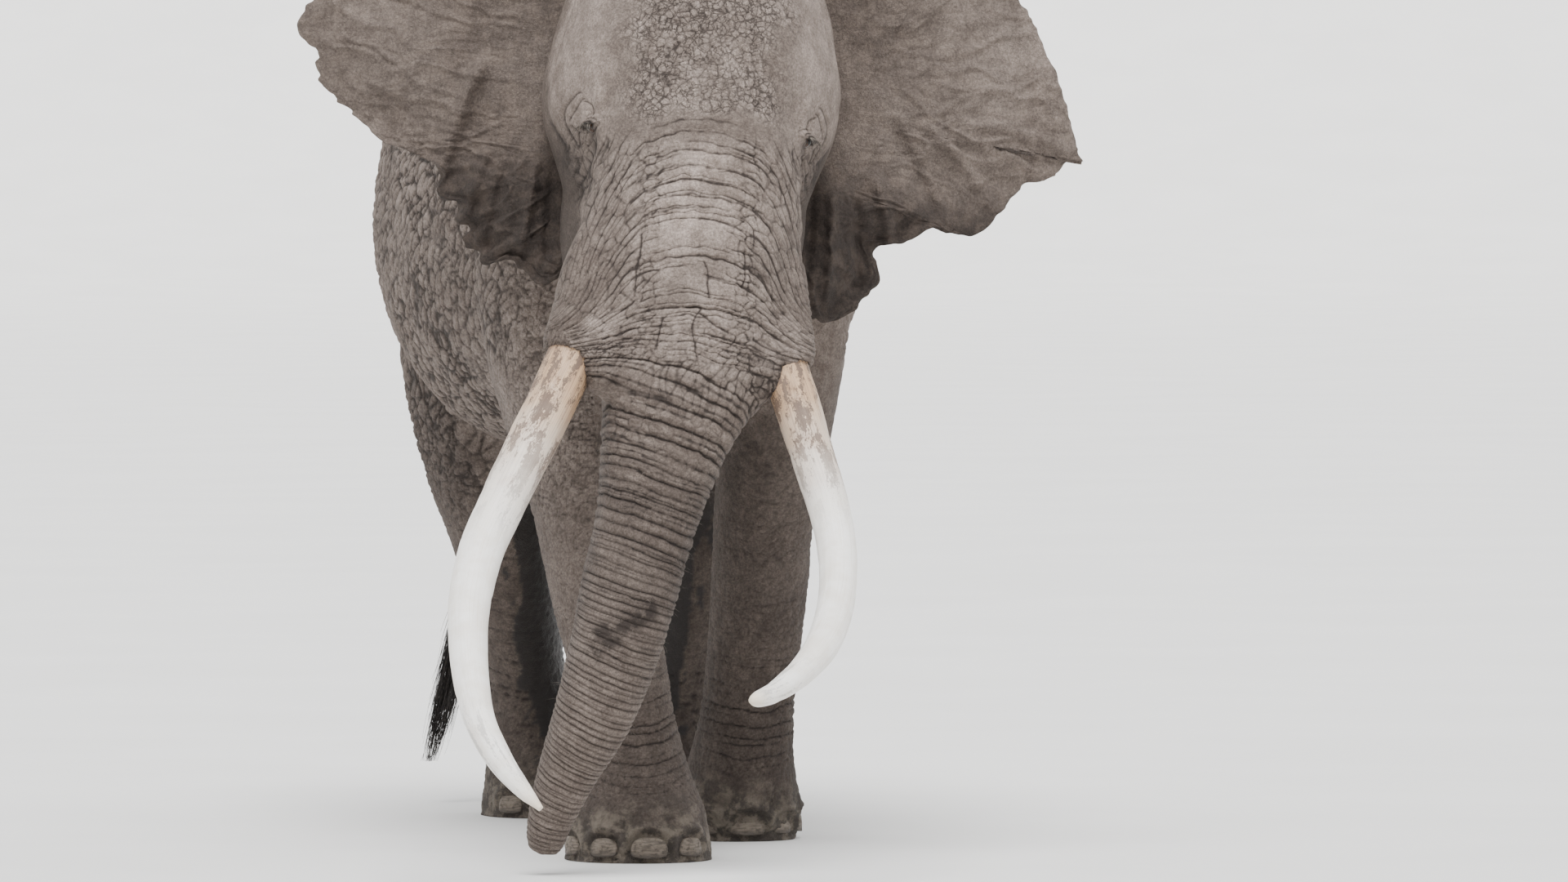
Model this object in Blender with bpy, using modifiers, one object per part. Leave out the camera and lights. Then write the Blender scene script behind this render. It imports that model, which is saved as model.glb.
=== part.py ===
"""A life-size African savanna elephant, an old bull with very long tusks, walking.

Metres, +Z up. The bull faces -Y and his right side is at -X. The flesh is built whole, from
lofted forms that are fused and thinned, and is then parted into its named pieces by thin cuts.
Ears, eyes, tusks, lower jaw and tail are solids of their own that sit in sockets in the flesh.
"""
import math

import bmesh
import bpy
import numpy as np
from mathutils import Matrix, Vector
from mathutils.bvhtree import BVHTree

# ---------------------------------------------------------------- driving dimensions
GAP = 0.0003               # clearance between neighbouring solids
FLESH_VOXEL = 0.022        # cell of the fused flesh
FLESH_SMOOTHING = 4        # passes that blend the fused forms into each other
FLESH_TRIANGLES = 2720     # faces left in the flesh before it is parted
SOLE_CUT = 0.06            # how far the legs run on below the floor before they are cut level

HEAD_PIVOT = Vector((0.0, 0.75, 2.50))   # the neck joint that the head is turned about
HEAD_YAW = math.radians(4.0)             # head turned to its right
HEAD_ROLL = math.radians(4.0)            # chin swung to its right

EYE_RADIUS = 0.026
EYE_PLACE = (0.352, -0.40, 2.372)        # target on the face, head frame, left eye
EYE_SUNK = 0.55                          # share of the radius that the centre lies under the skin

EAR_THICKNESS = 0.015
EAR_SWEEP = 0.30           # metres backwards per metre outwards
EAR_CAMBER = 0.07          # how far the middle of the sheet bellies forward
EAR_RIPPLE = 0.022         # height of the radial waves

NAIL_DEPTH = 0.026
TUSK_ROOT = 0.16           # length of tusk held inside the sheath

SKIN = ("skin", (0.245, 0.205, 0.175), 0.85)
EAR_SKIN = ("ear_skin", (0.205, 0.170, 0.148), 0.85)
IVORY = ("ivory", (0.80, 0.74, 0.63), 0.40)
EYE = ("eye", (0.035, 0.020, 0.012), 0.10)
HAIR = ("hair", (0.030, 0.026, 0.024), 0.60)

# ---------------------------------------------------------------- forms of the flesh
# Each row is x, y, z, half width across, half depth the other way.

TORSO = [
    (0.00, 0.44, 2.38, 0.36, 0.52),
    (0.00, 0.62, 2.35, 0.52, 0.71),
    (0.00, 0.92, 2.32, 0.63, 0.87),
    (0.00, 1.30, 2.26, 0.73, 0.91),
    (0.00, 1.75, 2.18, 0.79, 0.90),
    (0.00, 2.20, 2.175, 0.80, 0.925),
    (0.00, 2.55, 2.225, 0.775, 0.905),
    (0.00, 2.85, 2.275, 0.69, 0.755),
    (0.00, 3.08, 2.28, 0.56, 0.57),
    (0.00, 3.23, 2.26, 0.38, 0.40),
    (0.00, 3.30, 2.25, 0.20, 0.22),
]
NECK = [
    (0.00, 1.10, 2.44, 0.50, 0.66),
    (0.00, 0.75, 2.42, 0.47, 0.62),
    (-0.02, 0.45, 2.42, 0.42, 0.56),
    (-0.05, 0.20, 2.45, 0.36, 0.48),
    (-0.06, 0.05, 2.48, 0.30, 0.36),
]
FORELEG_RIGHT = [
    (-0.38, 0.98, 2.30, 0.20, 0.34),
    (-0.42, 0.92, 2.00, 0.22, 0.36),
    (-0.40, 0.84, 1.70, 0.215, 0.32),
    (-0.36, 0.74, 1.42, 0.195, 0.27),
    (-0.31, 0.64, 1.15, 0.177, 0.215),
    (-0.268, 0.53, 0.85, 0.168, 0.187),
    (-0.228, 0.44, 0.60, 0.160, 0.172),
    (-0.205, 0.38, 0.38, 0.170, 0.180),
    (-0.190, 0.335, 0.20, 0.203, 0.220),
    (-0.185, 0.320, 0.08, 0.236, 0.250),
    (-0.183, 0.320, 0.00, 0.242, 0.255),
    (-0.183, 0.320, -SOLE_CUT, 0.238, 0.250),
]
FORELEG_LEFT = [
    (0.38, 1.00, 2.30, 0.20, 0.34),
    (0.41, 1.00, 2.00, 0.22, 0.36),
    (0.41, 1.02, 1.70, 0.21, 0.31),
    (0.39, 1.06, 1.42, 0.19, 0.26),
    (0.360, 1.11, 1.15, 0.172, 0.21),
    (0.350, 1.17, 0.85, 0.166, 0.182),
    (0.335, 1.215, 0.62, 0.158, 0.168),
    (0.322, 1.235, 0.44, 0.160, 0.172),
    (0.315, 1.275, 0.29, 0.176, 0.192),
    (0.310, 1.325, 0.17, 0.196, 0.222),
    (0.308, 1.372, 0.075, 0.212, 0.238),
    (0.308, 1.392, 0.030, 0.206, 0.232),
]
HIND_LEG_RIGHT = [
    (-0.34, 2.62, 2.25, 0.27, 0.50),
    (-0.41, 2.64, 1.90, 0.275, 0.48),
    (-0.42, 2.66, 1.55, 0.25, 0.42),
    (-0.385, 2.66, 1.25, 0.215, 0.335),
    (-0.315, 2.67, 0.98, 0.182, 0.265),
    (-0.262, 2.73, 0.72, 0.158, 0.200),
    (-0.225, 2.79, 0.50, 0.148, 0.172),
    (-0.195, 2.80, 0.30, 0.160, 0.180),
    (-0.180, 2.78, 0.14, 0.190, 0.216),
    (-0.175, 2.77, 0.05, 0.207, 0.238),
    (-0.175, 2.77, -SOLE_CUT, 0.205, 0.235),
]
HIND_LEG_LEFT = [
    (0.34, 2.62, 2.25, 0.27, 0.50),
    (0.41, 2.62, 1.90, 0.275, 0.48),
    (0.42, 2.56, 1.55, 0.25, 0.42),
    (0.385, 2.48, 1.25, 0.215, 0.33),
    (0.325, 2.40, 0.98, 0.182, 0.26),
    (0.275, 2.36, 0.72, 0.158, 0.200),
    (0.245, 2.38, 0.50, 0.148, 0.172),
    (0.222, 2.38, 0.30, 0.160, 0.180),
    (0.210, 2.35, 0.14, 0.190, 0.216),
    (0.205, 2.34, 0.05, 0.207, 0.238),
    (0.205, 2.34, -SOLE_CUT, 0.205, 0.235),
]
TRUNK = [
    (-0.135, -0.46, 2.02, 0.30, 0.24),
    (-0.150, -0.525, 1.83, 0.315, 0.245),
    (-0.165, -0.580, 1.64, 0.295, 0.230),
    (-0.215, -0.625, 1.475, 0.232, 0.205),
    (-0.258, -0.650, 1.315, 0.197, 0.188),
    (-0.299, -0.660, 1.134, 0.166, 0.168),
    (-0.346, -0.660, 0.952, 0.156, 0.156),
    (-0.388, -0.645, 0.770, 0.147, 0.146),
    (-0.434, -0.615, 0.608, 0.134, 0.132),
    (-0.476, -0.580, 0.476, 0.122, 0.118),
    (-0.530, -0.535, 0.342, 0.098, 0.098),
    (-0.573, -0.490, 0.214, 0.078, 0.080),
    (-0.592, -0.455, 0.126, 0.064, 0.066),
    (-0.594, -0.440, 0.075, 0.054, 0.056),
]
SHEATH_RIGHT = [
    (-0.30, -0.37, 2.12, 0.13, 0.13),
    (-0.405, -0.49, 1.92, 0.145, 0.145),
    (-0.460, -0.56, 1.80, 0.132, 0.132),
    (-0.512, -0.622, 1.705, 0.112, 0.112),
    (-0.536, -0.650, 1.662, 0.099, 0.099),
]
SHEATH_LEFT = [
    (0.06, -0.33, 2.10, 0.13, 0.13),
    (0.100, -0.47, 1.90, 0.148, 0.148),
    (0.125, -0.55, 1.78, 0.130, 0.130),
    (0.148, -0.625, 1.660, 0.106, 0.106),
    (0.156, -0.650, 1.613, 0.092, 0.092),
]
# These are in the head's own frame, before it is turned about its pivot.
CRANIUM = [
    (0.0, 0.10, 3.05, 0.12, 0.12),
    (0.0, 0.07, 3.02, 0.23, 0.25),
    (0.0, 0.03, 2.93, 0.345, 0.37),
    (0.0, 0.00, 2.80, 0.415, 0.45),
    (0.0, -0.03, 2.66, 0.450, 0.49),
    (0.0, -0.06, 2.52, 0.480, 0.51),
    (0.0, -0.08, 2.40, 0.472, 0.50),
    (0.0, -0.10, 2.27, 0.425, 0.47),
    (0.0, -0.12, 2.12, 0.375, 0.42),
    (0.0, -0.10, 1.97, 0.345, 0.36),
    (0.0, -0.06, 1.85, 0.30, 0.28),
    (0.0, -0.02, 1.76, 0.20, 0.18),
]
FACE = [
    (0.0, -0.16, 2.72, 0.26, 0.28),
    (0.0, -0.26, 2.55, 0.325, 0.30),
    (0.0, -0.33, 2.38, 0.345, 0.30),
    (0.0, -0.385, 2.22, 0.350, 0.295),
    (0.0, -0.43, 2.08, 0.350, 0.280),
    (0.0, -0.49, 1.92, 0.340, 0.265),
    (0.0, -0.54, 1.80, 0.325, 0.250),
]
LOWER_JAW = [
    (0.0, 0.22, 2.00, 0.18, 0.14),
    (0.0, 0.08, 1.90, 0.20, 0.18),
    (0.0, -0.06, 1.79, 0.175, 0.155),
    (0.0, -0.17, 1.685, 0.125, 0.115),
    (0.0, -0.25, 1.60, 0.075, 0.075),
    (0.0, -0.30, 1.535, 0.032, 0.036),
]
# Round swellings of the head: centre, then the three radii; each is made on both sides.
HEAD_SWELLINGS = {
    "cheek": ((0.27, 0.03, 2.08), (0.13, 0.27, 0.30)),
    "temple": ((0.33, -0.02, 2.54), (0.14, 0.24, 0.20)),
    "orbit": ((0.305, -0.345, 2.385), (0.075, 0.075, 0.085)),
    "brow": ((0.29, -0.33, 2.47), (0.085, 0.09, 0.05)),
}
# Rolls of skin between the trunk and each tusk, where the body stands.
TUSK_FOLDS = {
    "tusk_fold_right": ((-0.435, -0.690, 1.645), (0.070, 0.075, 0.105)),
    "tusk_fold_left": ((0.060, -0.670, 1.610), (0.075, 0.070, 0.090)),
}

# ---------------------------------------------------------------- pieces of their own
TUSK_RIGHT = [
    (-0.536, -0.650, 1.662, 0.080),
    (-0.606, -0.700, 1.523, 0.080),
    (-0.691, -0.770, 1.372, 0.078),
    (-0.788, -0.870, 1.205, 0.075),
    (-0.866, -0.970, 1.065, 0.072),
    (-0.918, -1.090, 0.921, 0.067),
    (-0.940, -1.200, 0.798, 0.061),
    (-0.946, -1.310, 0.676, 0.056),
    (-0.931, -1.430, 0.542, 0.049),
    (-0.883, -1.530, 0.427, 0.040),
    (-0.821, -1.600, 0.340, 0.028),
    (-0.770, -1.635, 0.283, 0.009),
]
TUSK_LEFT = [
    (0.155, -0.650, 1.613, 0.073),
    (0.187, -0.700, 1.489, 0.073),
    (0.224, -0.780, 1.327, 0.069),
    (0.256, -0.870, 1.184, 0.066),
    (0.266, -0.970, 1.056, 0.062),
    (0.245, -1.100, 0.914, 0.059),
    (0.186, -1.240, 0.789, 0.055),
    (0.098, -1.370, 0.699, 0.046),
    (-0.007, -1.490, 0.636, 0.034),
    (-0.074, -1.560, 0.615, 0.025),
    (-0.104, -1.590, 0.611, 0.011),
]
TAIL = [
    (0.00, 3.12, 2.74, 0.066),
    (0.00, 3.25, 2.64, 0.064),
    (-0.005, 3.345, 2.45, 0.054),
    (-0.03, 3.385, 2.18, 0.045),
    (-0.08, 3.400, 1.88, 0.038),
    (-0.14, 3.410, 1.56, 0.031),
    (-0.21, 3.425, 1.24, 0.025),
    (-0.275, 3.445, 0.98, 0.021),
    (-0.31, 3.462, 0.86, 0.019),
]
TAIL_TUFT = [
    (-0.283, 3.449, 0.95, 0.032, 0.030),
    (-0.318, 3.462, 0.82, 0.046, 0.041),
    (-0.355, 3.466, 0.66, 0.057, 0.047),
    (-0.398, 3.472, 0.45, 0.057, 0.041),
    (-0.440, 3.481, 0.27, 0.038, 0.027),
    (-0.470, 3.490, 0.15, 0.008, 0.008),
]
# Free margins of the ears, head frame: outwards, up; from the crest round to the lobe.
EAR_ROOT_TOP = (0.34, 0.15, 2.90)
EAR_ROOT_BOTTOM = (0.33, 0.08, 2.03)
EAR_MARGIN_RIGHT = [
    (0.42, 3.00), (0.62, 3.08), (0.88, 3.05), (1.10, 2.92), (1.262, 2.66), (1.19, 2.46),
    (1.06, 2.35), (0.91, 2.25), (0.77, 2.14), (0.690, 1.99), (0.61, 1.905), (0.45, 1.87),
    (0.36, 1.97),
]
EAR_MARGIN_LEFT = [
    (0.42, 3.00), (0.62, 3.09), (0.88, 3.07), (1.07, 2.91), (1.20, 2.70), (1.295, 2.48),
    (1.335, 2.385), (1.22, 2.31), (1.07, 2.20), (0.93, 2.105), (0.75, 2.07), (0.675, 1.95),
    (0.56, 1.82), (0.44, 1.80), (0.36, 1.94),
]
EAR_ROWS = 5               # cells from the root to the margin
EAR_COLUMNS = 22           # cells along the margin

# Nails: foot centre x, y, half width, half length of the sole, height, and the angles of the
# nails round the foot, from straight ahead towards the bull's left.
FEET = {
    "foot_fore_right": ((-0.183, 0.320), (0.242, 0.255), 0.048, (-72, -36, 0, 36)),
    "foot_fore_left": ((0.308, 1.385), (0.206, 0.232), 0.052, (-36, 0, 36, 72)),
    "foot_hind_right": ((-0.175, 2.770), (0.207, 0.238), 0.045, (-38, 0, 38)),
    "foot_hind_left": ((0.205, 2.340), (0.207, 0.238), 0.045, (-38, 0, 38)),
}
NAIL_FRONT = (0.058, 0.034)    # half width and half height of the front nail
NAIL_SIDE = (0.044, 0.030)     # and of the others

# Thin cuts that part the flesh: centre, the tilt about X in degrees from a level cut, and half
# sizes across and along.
CUTS = {
    "head_from_neck": ((0.0, 0.40, 2.44), 82.4, (0.80, 0.88)),
    "neck_from_torso": ((0.0, 0.635, 2.50), 74.5, (1.00, 0.90)),
    "behind_shoulders": ((0.0, 1.45, 2.25), 90.0, (1.10, 1.10)),
    "behind_barrel": ((0.0, 2.04, 2.25), 90.0, (1.10, 1.10)),
    "forelegs_upper": ((0.0, 0.90, 1.26), 0.0, (0.90, 0.62)),
    "forelegs_knee": ((0.0, 0.85, 0.80), 0.0, (0.80, 0.62)),
    "forelegs_foot": ((0.0, 0.92, 0.30), 0.0, (0.80, 0.88)),
    "hind_legs_upper": ((0.0, 2.57, 1.15), 0.0, (0.90, 0.66)),
    "hind_legs_knee": ((0.0, 2.55, 0.78), 0.0, (0.80, 0.60)),
    "hind_legs_foot": ((0.0, 2.57, 0.28), 0.0, (0.80, 0.58)),
    "trunk_top": ((-0.18, -0.58, 1.575), -8.0, (0.42, 0.34)),
    "trunk_upper": ((-0.33, -0.66, 1.05), 0.0, (0.30, 0.30)),
    "trunk_lower": ((-0.46, -0.59, 0.52), 12.0, (0.28, 0.26)),
}
# Each loose piece of flesh takes the name whose place is nearest to its middle.
FLESH_PLACES = {
    "head": (-0.08, -0.15, 2.30),
    "neck": (-0.02, 0.50, 2.40),
    "shoulders": (0.0, 1.05, 2.25),
    "barrel": (0.0, 1.78, 2.18),
    "hindquarters": (0.0, 2.60, 2.10),
    "trunk_base": (-0.26, -0.64, 1.32),
    "trunk_middle": (-0.39, -0.63, 0.78),
    "trunk_tip": (-0.55, -0.50, 0.27),
    "foreleg_right_upper": (-0.29, 0.58, 1.03),
    "foreleg_right_lower": (-0.23, 0.43, 0.55),
    "foot_fore_right": (-0.19, 0.33, 0.15),
    "foreleg_left_upper": (0.36, 1.12, 1.03),
    "foreleg_left_lower": (0.33, 1.21, 0.55),
    "foot_fore_left": (0.31, 1.36, 0.15),
    "hind_leg_right_upper": (-0.31, 2.63, 0.95),
    "hind_leg_right_lower": (-0.23, 2.76, 0.53),
    "foot_hind_right": (-0.18, 2.78, 0.13),
    "hind_leg_left_upper": (0.32, 2.35, 0.95),
    "hind_leg_left_lower": (0.25, 2.35, 0.53),
    "foot_hind_left": (0.21, 2.35, 0.13),
}


# ---------------------------------------------------------------- scene helpers
def clear_scene():
    for item in list(bpy.data.objects):
        bpy.data.objects.remove(item, do_unlink=True)


def new_collection(name):
    group = bpy.data.collections.new(name)
    bpy.context.scene.collection.children.link(group)
    return group


def material(finish):
    name, colour, roughness = finish
    found = bpy.data.materials.get(name)
    if found:
        return found
    made = bpy.data.materials.new(name)
    made.use_nodes = True
    shader = made.node_tree.nodes["Principled BSDF"]
    shader.inputs["Base Color"].default_value = (*colour, 1.0)
    shader.inputs["Roughness"].default_value = roughness
    shader.inputs["Metallic"].default_value = 0.0
    return made


def new_object(name, mesh, group, finish=None):
    item = bpy.data.objects.new(name, mesh)
    group.objects.link(item)
    if finish:
        mesh.materials.clear()
        mesh.materials.append(material(finish))
    return item


def hide_cutter(item):
    item.hide_render = True
    item.display_type = "WIRE"


def evaluated_mesh(item):
    """The object's mesh with its modifiers applied."""
    bpy.context.view_layer.update()
    graph = bpy.context.evaluated_depsgraph_get()
    return bpy.data.meshes.new_from_object(item.evaluated_get(graph))


def drop(item):
    bpy.data.objects.remove(item, do_unlink=True)


# ---------------------------------------------------------------- curves and lofts
def smooth_rows(rows, steps):
    """Catmull-Rom rows through the given ones, with so many steps to each span."""
    rows = np.array(rows, dtype=float)
    padded = np.vstack([2 * rows[0] - rows[1], rows, 2 * rows[-1] - rows[-2]])
    out = []
    for i in range(1, len(padded) - 2):
        before, start, end, after = padded[i - 1:i + 3]
        for k in range(steps):
            t = k / steps
            out.append(0.5 * (2 * start + (end - before) * t
                              + (2 * before - 5 * start + 4 * end - after) * t ** 2
                              + (3 * start - before - 3 * end + after) * t ** 3))
    out.append(padded[-2])
    return np.array(out)


def ring(centre, tangent, half_side, half_other, sides, power, taper):
    """A superellipse square to the tangent; taper narrows it towards its second axis."""
    tangent = tangent.normalized()
    side = (Vector((1, 0, 0)) - tangent * tangent.x).normalized()
    other = tangent.cross(side)
    points = []
    for k in range(sides):
        angle = 2 * math.pi * k / sides
        c, s = math.cos(angle), math.sin(angle)
        across = math.copysign(abs(c) ** (2 / power), c) * half_side
        along = math.copysign(abs(s) ** (2 / power), s)
        across *= 1 - taper * along
        points.append(centre + side * across + other * along * half_other)
    return points


def loft(name, rows, sides=20, steps=3, power=2.2, taper=0.0, move=None):
    """A closed mesh through the rows' rings."""
    rows = smooth_rows(rows, steps)
    centres = [Vector(r[:3]) for r in rows]
    shape = bmesh.new()
    rings = []
    for i, row in enumerate(rows):
        tangent = centres[min(i + 1, len(rows) - 1)] - centres[max(i - 1, 0)]
        half_other = row[4] if len(row) > 4 else row[3]
        points = ring(centres[i], tangent, row[3], half_other, sides, power, taper)
        if move:
            points = [move @ p for p in points]
        rings.append([shape.verts.new(p) for p in points])
    for low, high in zip(rings, rings[1:]):
        for k in range(sides):
            n = (k + 1) % sides
            shape.faces.new((low[k], low[n], high[n], high[k]))
    shape.faces.new(list(reversed(rings[0])))
    shape.faces.new(rings[-1])
    bmesh.ops.recalc_face_normals(shape, faces=shape.faces)
    bmesh.ops.triangulate(shape, faces=shape.faces)
    mesh = bpy.data.meshes.new(name)
    shape.to_mesh(mesh)
    shape.free()
    return mesh


def swelling(name, centre, radii, move, rotation=Matrix(), sides=20):
    shape = bmesh.new()
    place = move @ Matrix.Translation(centre) @ rotation @ Matrix.Diagonal((*radii, 1.0))
    bmesh.ops.create_uvsphere(shape, u_segments=sides, v_segments=sides // 2 + 1, radius=1.0,
                              matrix=place)
    bmesh.ops.recalc_face_normals(shape, faces=shape.faces)
    bmesh.ops.triangulate(shape, faces=shape.faces)
    mesh = bpy.data.meshes.new(name)
    shape.to_mesh(mesh)
    shape.free()
    return mesh


def joined(name, meshes):
    """One mesh that holds the faces of them all."""
    shape = bmesh.new()
    for mesh in meshes:
        shape.from_mesh(mesh)
        bpy.data.meshes.remove(mesh)
    mesh = bpy.data.meshes.new(name)
    shape.to_mesh(mesh)
    shape.free()
    return mesh


def swollen(item, amount, group):
    """A copy of a piece grown by the clearance, which cuts its socket."""
    shape = bmesh.new()
    shape.from_mesh(item.data)
    shape.normal_update()
    for vertex in shape.verts:
        vertex.co += vertex.normal * amount * vertex.calc_shell_factor()
    mesh = bpy.data.meshes.new(item.name + "_socket")
    shape.to_mesh(mesh)
    shape.free()
    cutter = new_object(mesh.name, mesh, group)
    hide_cutter(cutter)
    return cutter


def cut_by(item, cutter, operation="DIFFERENCE"):
    boolean = item.modifiers.new(cutter.name, "BOOLEAN")
    boolean.operation = operation
    boolean.solver = "EXACT"
    boolean.object = cutter


def apply_all(item):
    """Replace the object's mesh by its evaluated one."""
    mesh = evaluated_mesh(item)
    item.modifiers.clear()
    item.data = mesh


def head_frame():
    turn = Matrix.Rotation(-HEAD_YAW, 4, "Z") @ Matrix.Rotation(HEAD_ROLL, 4, "Y")
    return Matrix.Translation(HEAD_PIVOT) @ turn @ Matrix.Translation(-HEAD_PIVOT)


# ---------------------------------------------------------------- the flesh
def flesh(group):
    """The whole body, neck, head, trunk and legs, fused and thinned to flat faces."""
    head = head_frame()
    forms = [
        loft("torso", TORSO, sides=32, power=2.2, taper=-0.12),
        loft("neck", NECK, sides=24),
        loft("cranium", CRANIUM, sides=32, power=2.3, taper=0.10, move=head),
        loft("face", FACE, sides=28, power=2.5, taper=0.16, move=head),
        loft("trunk", TRUNK, sides=24, power=2.3),
        loft("sheath_right", SHEATH_RIGHT),
        loft("sheath_left", SHEATH_LEFT),
        loft("foreleg_right", FORELEG_RIGHT),
        loft("foreleg_left", FORELEG_LEFT),
        loft("hind_leg_right", HIND_LEG_RIGHT),
        loft("hind_leg_left", HIND_LEG_LEFT),
    ]
    for name, ((x, y, z), radii) in HEAD_SWELLINGS.items():
        for side in (-1, 1):
            forms.append(swelling(name, (side * x, y, z), radii, head))
    for name, (centre, radii) in TUSK_FOLDS.items():
        forms.append(swelling(name, centre, radii, Matrix()))
    body = new_object("flesh", joined("flesh", forms), group)
    remesh = body.modifiers.new("fuse", "REMESH")
    remesh.mode = "VOXEL"
    remesh.voxel_size = FLESH_VOXEL
    smooth = body.modifiers.new("blend", "SMOOTH")
    smooth.factor = 0.5
    smooth.iterations = FLESH_SMOOTHING
    apply_all(body)
    triangles = sum(len(face.vertices) - 2 for face in body.data.polygons)
    thin = body.modifiers.new("thin", "DECIMATE")
    thin.ratio = FLESH_TRIANGLES / triangles
    apply_all(body)
    outward(body)
    return body


def floor_cutter(group):
    mesh = bpy.data.meshes.new("below_floor")
    shape = bmesh.new()
    size = Matrix.Translation((0, 1.0, -0.5)) @ Matrix.Diagonal((6, 8, 1.0, 1.0))
    bmesh.ops.create_cube(shape, size=1.0, matrix=size)
    shape.to_mesh(mesh)
    shape.free()
    cutter = new_object("below_floor", mesh, group)
    hide_cutter(cutter)
    return cutter


def thin_cuts(group):
    """Every parting cut, as thin plates in one object."""
    shape = bmesh.new()
    for centre, tilt, (across, along) in CUTS.values():
        place = (Matrix.Translation(centre) @ Matrix.Rotation(math.radians(tilt), 4, "X")
                 @ Matrix.Diagonal((2 * across, 2 * along, GAP, 1.0)))
        bmesh.ops.create_cube(shape, size=1.0, matrix=place)
    mesh = bpy.data.meshes.new("parting")
    shape.to_mesh(mesh)
    shape.free()
    cutter = new_object("parting", mesh, group)
    hide_cutter(cutter)
    return cutter


def loose_pieces(mesh):
    """Split a mesh into its separate bodies."""
    shape = bmesh.new()
    shape.from_mesh(mesh)
    shape.verts.ensure_lookup_table()
    seen = set()
    pieces = []
    for start in shape.verts:
        if start.index in seen:
            continue
        island = {start}
        edge = [start]
        while edge:
            vertex = edge.pop()
            for link in vertex.link_edges:
                other = link.other_vert(vertex)
                if other not in island:
                    island.add(other)
                    edge.append(other)
        seen.update(v.index for v in island)
        pieces.append(sorted(v.index for v in island))
    out = []
    for indices in pieces:
        copy = shape.copy()
        copy.verts.ensure_lookup_table()
        keep = set(indices)
        bmesh.ops.delete(copy, geom=[v for v in copy.verts if v.index not in keep], context="VERTS")
        out.append(copy)
    shape.free()
    return out


def part_flesh(body, group):
    """Name each loose piece of the flesh by the nearest place."""
    named = {}
    for shape in loose_pieces(body.data):
        middle = sum((v.co for v in shape.verts), Vector()) / len(shape.verts)
        name = min(FLESH_PLACES, key=lambda n: (Vector(FLESH_PLACES[n]) - middle).length)
        if name in named:
            raise ValueError(f"two loose pieces lie nearest to {name}: {middle}")
        bmesh.ops.triangulate(shape, faces=shape.faces)
        mesh = bpy.data.meshes.new(name)
        shape.to_mesh(mesh)
        shape.free()
        named[name] = new_object(name, mesh, group, SKIN)
    return named


# ---------------------------------------------------------------- pieces of their own
def tusk(name, rows, group):
    lip, beyond = Vector(rows[0][:3]), Vector(rows[1][:3])
    root = lip + (lip - beyond).normalized() * TUSK_ROOT
    mesh = loft(name, [(*root, rows[0][3])] + rows, sides=12, steps=1)
    return new_object(name, mesh, group, IVORY)


def ear(name, side, margin, skin, group):
    """A thin cambered sheet from its root line in the head to its free margin."""
    head = head_frame()
    outline = smooth_rows(margin, 8)
    run = np.linspace(0, len(outline) - 1, EAR_COLUMNS + 1)
    rim = [outline[int(round(i))] for i in run]
    top, bottom = Vector(EAR_ROOT_TOP), Vector(EAR_ROOT_BOTTOM)
    shape = bmesh.new()
    grid = []
    for j, (out, up) in enumerate(rim):
        t = j / EAR_COLUMNS
        root = top.lerp(bottom, t)
        line = []
        for i in range(EAR_ROWS + 1):
            s = i / EAR_ROWS
            x = root.x + (out - root.x) * s
            z = root.z + (up - root.z) * s
            ripple = EAR_RIPPLE * s * math.sin(7.0 * math.pi * t + 2.0 * s)
            y = root.y + EAR_SWEEP * (x - root.x) - EAR_CAMBER * math.sin(math.pi * s) + ripple
            line.append(shape.verts.new(head @ Vector((side * x, y, z))))
        grid.append(line)
    for first, second in zip(grid, grid[1:]):
        for i in range(EAR_ROWS):
            shape.faces.new((first[i], first[i + 1], second[i + 1], second[i]))
    mesh = bpy.data.meshes.new(name)
    shape.to_mesh(mesh)
    shape.free()
    item = new_object(name, mesh, group, EAR_SKIN)
    shell = item.modifiers.new("thickness", "SOLIDIFY")
    shell.thickness = EAR_THICKNESS
    shell.offset = 0.0
    apply_all(item)
    outward(item)
    cut_by(item, skin)
    apply_all(item)
    outward(item)
    return item


def outward(item):
    """Turn a closed mesh's faces out and cut them into triangles."""
    shape = bmesh.new()
    shape.from_mesh(item.data)
    bmesh.ops.recalc_face_normals(shape, faces=shape.faces)
    bmesh.ops.triangulate(shape, faces=shape.faces)
    shape.to_mesh(item.data)
    shape.free()


def eye(name, side, body, group):
    """A ball set under the skin at the nearest point of the face."""
    x, y, z = EYE_PLACE
    tree = BVHTree.FromPolygons([v.co for v in body.data.vertices],
                                [f.vertices for f in body.data.polygons])
    point, normal, _, _ = tree.find_nearest(head_frame() @ Vector((side * x, y, z)))
    shape = bmesh.new()
    place = Matrix.Translation(point - normal * EYE_RADIUS * EYE_SUNK)
    bmesh.ops.create_uvsphere(shape, u_segments=10, v_segments=7, radius=EYE_RADIUS, matrix=place)
    bmesh.ops.triangulate(shape, faces=shape.faces)
    mesh = bpy.data.meshes.new(name)
    shape.to_mesh(mesh)
    shape.free()
    mesh.shade_smooth()
    return new_object(name, mesh, group, EYE)


def nails(name):
    """Flattened rounds that stand out of the front of a foot."""
    (x, y), (half_side, half_long), height, angles = FEET[name]
    shapes = []
    for degrees in angles:
        angle = math.radians(degrees)
        half_width, half_height = NAIL_FRONT if degrees == 0 else NAIL_SIDE
        place = Vector((x + half_side * math.sin(angle), y - half_long * math.cos(angle), height))
        shapes.append(swelling("nail", place, (half_width, NAIL_DEPTH, half_height),
                               Matrix(), Matrix.Rotation(angle, 4, "Z"), sides=6))
    return shapes


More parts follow.
